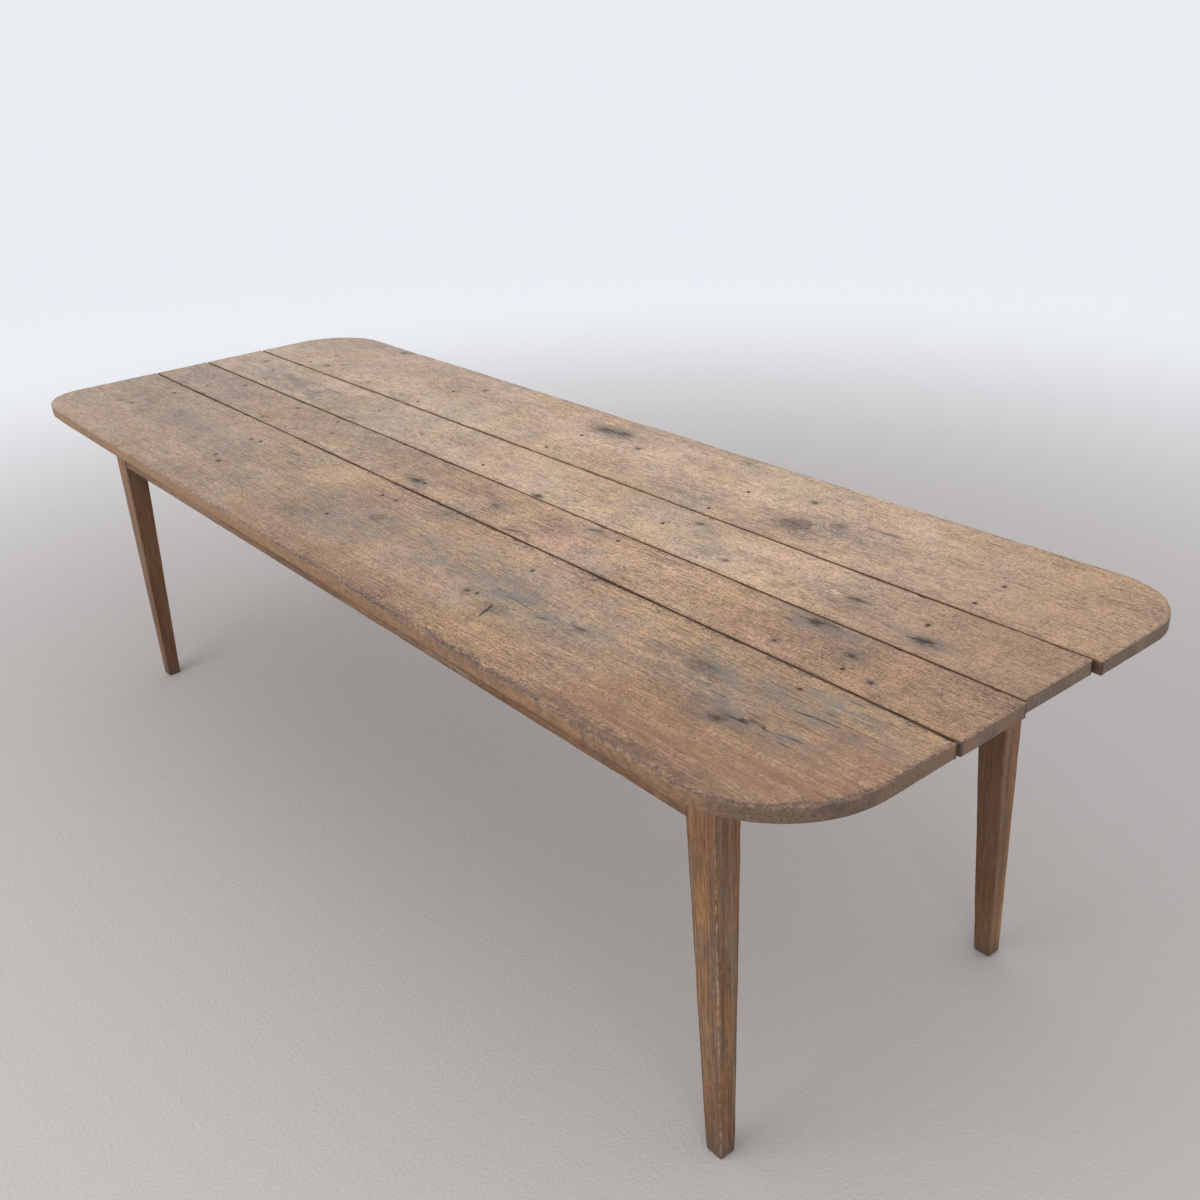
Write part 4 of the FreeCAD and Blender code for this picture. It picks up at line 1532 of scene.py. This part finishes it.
    def inner_back(self, nails: np.ndarray) -> tuple[Plank, TopFinish]:
        """Give the narrow plank before the back one.

        Args:
            nails: Places of all the nails.

        Returns:
            The plank and its finish.
        """
        low, high = box_of("top_plank_inner_back")
        plank = Plank(
            "inner_back_plank", low, high, radii=self.square, seed=37, nails=nails,
            knots=(
                Knot(1.120, 0.056, 0.022, 0.013, 1.0), Knot(0.961, 0.097, 0.014, 0.010, 0.7),
                Knot(-1.200, 0.131, 0.011, 0.007, 0.7), Knot(0.214, 0.024, 0.010, 0.007, 1.0),
                Knot(0.550, 0.142, 0.010, 0.006, 0.7), Knot(0.700, 0.060, 0.009, 0.006, 0.7),
                Knot(-0.300, 0.080, 0.009, 0.006, 0.6),
            ),
            cracks=(
                Crack(1.090, 0.048, 1.150, 0.066, 0.0022), Crack(0.195, 0.020, 0.235, 0.026, 0.0018),
                Crack(0.930, 0.092, 0.990, 0.100, 0.0012), Crack(-0.820, 0.110, -0.700, 0.116, 0.0010),
            ),
            stains=(
                Stain(1.110, 0.056, 0.055, 0.022, 0.80), Stain(0.930, 0.095, 0.080, 0.030, 0.6),
                Stain(-0.800, 0.060, 0.280, 0.040, 0.75), Stain(-1.000, 0.100, 0.180, 0.035, 0.6),
                Stain(0.640, 0.070, 0.120, 0.040, 0.4), Stain(0.250, 0.040, 0.080, 0.025, 0.45),
                Stain(0.880, 0.060, 0.110, 0.030, 0.4, Hue.DARK),
            ),
        )
        finish = PaleTopFinish(
            "inner_back_wood", heart_y=-0.150, heart_z=0.540, heart_slope=-0.018, pale=(0.570, 0.410, 0.285),
            deep=(0.462, 0.312, 0.205), near_shade_share=0.85)
        return plank, finish

    def back(self, nails: np.ndarray) -> tuple[Plank, TopFinish]:
        """Give the wide back plank, whose front seam gapes midway.

        Args:
            nails: Places of all the nails.

        Returns:
            The plank and its finish.
        """
        low, high = box_of("top_plank_back")
        plank = Plank(
            "back_plank", low, high, radii=(0.003, 0.003, 0.130, 0.175), seed=53, nails=nails,
            seams=(Edge.FRONT,), gape=0.0022,
            knots=(
                Knot(-0.004, 0.374, 0.030, 0.015, 0.75), Knot(0.048, 0.384, 0.022, 0.013, 0.8),
                Knot(0.674, 0.260, 0.036, 0.028, 0.52), Knot(0.738, 0.301, 0.018, 0.014, 0.5),
                Knot(0.147, 0.340, 0.009, 0.006, 0.8), Knot(-0.475, 0.373, 0.008, 0.006, 0.8),
                Knot(-0.778, 0.215, 0.009, 0.006, 0.7), Knot(0.630, 0.359, 0.009, 0.006, 0.8),
                Knot(-1.017, 0.225, 0.012, 0.008, 0.6), Knot(-0.960, 0.430, 0.014, 0.007, 0.6),
            ),
            cracks=(
                Crack(-0.030, 0.381, 0.070, 0.374, 0.0018), Crack(0.640, 0.262, 0.712, 0.258, 0.0016),
                Crack(-0.985, 0.440, -0.930, 0.446, 0.0014), Crack(0.780, 0.330, 0.860, 0.336, 0.0010),
            ),
            stains=(
                Stain(0.690, 0.262, 0.090, 0.045, 0.35), Stain(0.750, 0.300, 0.050, 0.028, 0.6),
                Stain(0.860, 0.300, 0.090, 0.040, 0.5), Stain(-0.960, 0.440, 0.090, 0.022, 0.6),
                Stain(-1.017, 0.225, 0.050, 0.025, 0.5), Stain(0.450, 0.230, 0.160, 0.045, 0.35),
                Stain(0.020, 0.378, 0.070, 0.022, 0.5, Hue.DARK),
            ),
        )
        finish = PaleTopFinish(
            "back_plank_wood", heart_y=0.620, heart_z=0.450, heart_slope=-0.024, pale=(0.545, 0.384, 0.263),
            deep=(0.453, 0.301, 0.200), near_shade_share=0.62)
        return plank, finish

    def build(self) -> None:
        """Make the planks and nails."""
        iron = IronFinish().material()
        places = []
        for row in self.nail_rows():
            places.append(row.places())
            name = row.name.replace("nails", "forged_nails")
            row.surface().to_object(name, iron, self.iron_slot, [row.name])
        nails = np.vstack(places)
        for make, node in (
            (self.front, "top_plank_front"), (self.inner_front, "top_plank_inner_front"),
            (self.inner_back, "top_plank_inner_back"), (self.back, "top_plank_back"),
        ):
            plank, finish = make(nails)
            plank.surface().to_object(plank.name, finish.material(), self.slot, [node])


@dataclass
class Frame:
    """The legs, aprons, bearers, tongues and pegs under the top."""

    slot: str = "frame_wood"
    hidden_slot: str = "hidden_wood"
    shoulder_tuck: float = 0.003
    hidden_light: Colour = (0.290, 0.185, 0.108)
    hidden_deep: Colour = (0.185, 0.110, 0.062)
    leg_seed: int = 60
    long_seed: int = 70
    end_seed: int = 75
    bearer_seed: int = 80

    def build(self) -> None:
        """Make the frame's pieces and finish the CAD nodes that stay."""
        finishes, hidden = {}, {}
        for grain in Grain:
            finishes[grain] = FrameFinish(f"frame_wood_{grain.name.lower()}", grain).material()
        for grain in (Grain.ALONG_X, Grain.ALONG_Y):
            name = f"hidden_wood_{grain.name.lower()}"
            hidden[grain] = FrameFinish(name, grain, self.hidden_light, self.hidden_deep).material()
        self.build_legs(finishes[Grain.ALONG_Z])
        self.build_aprons(finishes)
        self.build_bearers(hidden[Grain.ALONG_Y])
        for seam in ("front", "middle", "back"):
            dress_node(f"tongue_{seam}", hidden[Grain.ALONG_X])
        for side in ("front", "back"):
            for end in ("left", "right"):
                dress_node(f"pegs_{side}_{end}", finishes[Grain.ALONG_Y])

    def build_legs(self, finish: bpy.types.Material) -> None:
        """Make the four legs.

        Args:
            finish: Finish of upright grain.
        """
        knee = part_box("apron_left")[0].z
        for side, sign_y in (("front", -1), ("back", 1)):
            for end, sign_x in (("left", -1), ("right", 1)):
                node = f"leg_{side}_{end}"
                low, high = box_of(node)
                seed = self.leg_seed + 2 * sign_y + sign_x
                leg = Leg(f"{side}_{end}_leg", low, high, sign_x, sign_y, knee, seed=seed)
                leg.surface().to_object(leg.name, finish, self.slot, [node])

    def build_aprons(self, finishes: dict[Grain, bpy.types.Material]) -> None:
        """Make the four aprons, each between the inner faces of its two legs.

        Args:
            finishes: Finishes by the way the grain runs.
        """
        _, leg_high = box_of("leg_front_left")
        reach_x = -leg_high[0] + self.shoulder_tuck
        reach_y = -leg_high[1] + self.shoulder_tuck
        for number, side in enumerate(("front", "back")):
            low, high = box_of(f"apron_{side}")
            low, high = np.array([-reach_x, low[2], -high[1]]), np.array([reach_x, high[2], -low[1]])
            board = Board(f"{side}_apron", low, high, Lay.ON_EDGE_ALONG, seed=self.long_seed + number)
            board.surface().to_object(board.name, finishes[Grain.ALONG_X], self.slot, [f"apron_{side}"])
        for number, end in enumerate(("left", "right")):
            low, high = box_of(f"apron_{end}")
            low, high = np.array([-reach_y, low[2], low[0]]), np.array([reach_y, high[2], high[0]])
            board = Board(f"{end}_apron", low, high, Lay.ON_EDGE_ACROSS, seed=self.end_seed + number)
            board.surface().to_object(board.name, finishes[Grain.ALONG_Y], self.slot, [f"apron_{end}"])

    def build_bearers(self, finish: bpy.types.Material) -> None:
        """Make the three bearers across the frame.

        Args:
            finish: Finish of grain across the table.
        """
        for number, place in enumerate(("left", "middle", "right")):
            low, high = box_of(f"bearer_{place}")
            low, high = np.array([low[1], -high[0], low[2]]), np.array([high[1], -low[0], high[2]])
            board = Board(f"{place}_bearer", low, high, Lay.FLAT_ACROSS, seed=self.bearer_seed + number)
            board.surface().to_object(board.name, finish, self.hidden_slot, [f"bearer_{place}"])


def box_of(node: str) -> tuple[np.ndarray, np.ndarray]:
    """Give a CAD node's lowest and highest corners as arrays."""
    low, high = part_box(node)
    return np.array(low), np.array(high)


def dress_node(node: str, material: bpy.types.Material) -> None:
    """Give a CAD node that stays in the model its finish.

    Args:
        node: Name of the node.
        material: Its finish.
    """
    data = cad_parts[node].data
    data.materials.clear()
    data.materials.append(material)
    LOG.info("%s: CAD node finished with %s", node, material.name)


@dataclass(frozen=True)
class Lamp:
    """A square soft lamp: its place, the place it faces, its size and its power."""

    name: str
    place: Place
    target: Place
    size: float
    power: float

    def hang(self) -> None:
        """Put the lamp into the scene, turned to its target."""
        lamp = bpy.data.lights.new(self.name, "AREA")
        lamp.size = self.size
        lamp.energy = self.power
        holder = bpy.data.objects.new(self.name, lamp)
        holder.location = self.place
        heading = Vector(self.target) - Vector(self.place)
        holder.rotation_euler = heading.to_track_quat("-Z", "Y").to_euler()
        bpy.context.scene.collection.objects.link(holder)


@dataclass
class Studio:
    """A plain pale floor, soft light and the camera of the photograph."""

    floor_reach: float = 30.0
    floor_near: Colour = (0.465, 0.435, 0.423)
    floor_far: Colour = (0.82, 0.835, 0.865)
    fade_from: float = 1.6
    fade_to: float = 5.0
    sky: Colour = (0.97, 0.98, 1.0)
    horizon_strength: float = 0.80
    zenith_strength: float = 1.15
    backdrop: Colour = (0.83, 0.855, 0.90)
    pile_cycles: float = 160.0
    pile_depth: float = 0.002
    lamps: tuple[Lamp, ...] = (
        Lamp("front_softbox", place=(-0.2, -3.8, 2.2), target=(0.0, 0.0, 0.6), size=3.0, power=62.0),
        Lamp("end_softbox", place=(3.1, -1.3, 1.3), target=(1.1, -0.4, 0.4), size=1.2, power=14.0),
    )
    camera_place: Place = (2.1522, -1.3340, 1.6490)
    heading: float = 52.344
    pitch: float = -25.402
    roll: float = -3.410
    lens: float = 38.69
    sensor: float = 36.0

    def build(self) -> None:
        """Make the stage, the lights and the camera."""
        self.build_floor()
        self.build_light()
        self.build_camera()

    def build_floor(self) -> None:
        """Make a square floor that pales with distance from the table."""
        pen = Pen("studio_floor")
        place = pen.place()
        x, y, _ = pen.split(place)
        away = (x * x + y * y).do("SQRT")
        colour = pen.mix(away.ramp(self.fade_from, self.fade_to), self.floor_near, self.floor_far)
        pile = pen.noise(place, (self.pile_cycles,) * 3)
        pen.finish(colour, 0.95, pile, self.pile_depth, Specular_IOR_Level=0.1)
        mesh = bpy.data.meshes.new("studio_floor")
        reach = self.floor_reach
        corners = [(-reach, -reach, 0), (reach, -reach, 0), (reach, reach, 0), (-reach, reach, 0)]
        mesh.from_pydata(corners, [], [(0, 1, 2, 3)])
        mesh.materials.append(pen.material)
        floor = bpy.data.objects.new("studio_floor", mesh)
        bpy.context.scene.collection.objects.link(floor)

    def build_light(self) -> None:
        """Light the table with a sky that brightens upwards, seen as a plain backdrop, and soft lamps."""
        world = bpy.data.worlds.new("studio_sky")
        world.use_nodes = True
        nodes, links = world.node_tree.nodes, world.node_tree.links
        sky = nodes["Background"]
        sky.inputs["Color"].default_value = (*self.sky, 1.0)
        height = nodes.new("ShaderNodeSeparateXYZ")
        links.new(nodes.new("ShaderNodeTexCoord").outputs["Generated"], height.inputs[0])
        grade = nodes.new("ShaderNodeMapRange")
        for number, value in enumerate((0.0, 1.0, self.horizon_strength, self.zenith_strength), start=1):
            grade.inputs[number].default_value = value
        links.new(height.outputs[2], grade.inputs[0])
        links.new(grade.outputs[0], sky.inputs["Strength"])
        seen = nodes.new("ShaderNodeBackground")
        seen.inputs["Color"].default_value = (*self.backdrop, 1.0)
        choice = nodes.new("ShaderNodeMixShader")
        path = nodes.new("ShaderNodeLightPath")
        links.new(path.outputs["Is Camera Ray"], choice.inputs[0])
        links.new(sky.outputs[0], choice.inputs[1])
        links.new(seen.outputs[0], choice.inputs[2])
        links.new(choice.outputs[0], nodes["World Output"].inputs[0])
        bpy.context.scene.world = world
        for lamp in self.lamps:
            lamp.hang()

    def build_camera(self) -> None:
        """Set the camera where the photograph was taken from."""
        data = bpy.data.cameras.new("photo_camera")
        data.sensor_width = self.sensor
        data.lens = self.lens
        camera = bpy.data.objects.new("photo_camera", data)
        turn = (
            Matrix.Rotation(math.radians(self.heading), 4, "Z")
            @ Matrix.Rotation(math.radians(90 + self.pitch), 4, "X")
            @ Matrix.Rotation(math.radians(self.roll), 4, "Z"))
        camera.matrix_world = Matrix.Translation(self.camera_place) @ turn
        bpy.context.scene.collection.objects.link(camera)
        bpy.context.scene.camera = camera
        bpy.context.scene.view_settings.view_transform = "Standard"


def main() -> None:
    """Dress the table and set the studio."""
    logging.basicConfig(level=logging.INFO, format="%(message)s")
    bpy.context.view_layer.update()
    Top().build()
    Frame().build()
    Studio().build()


if __name__ == "__main__":
    main()
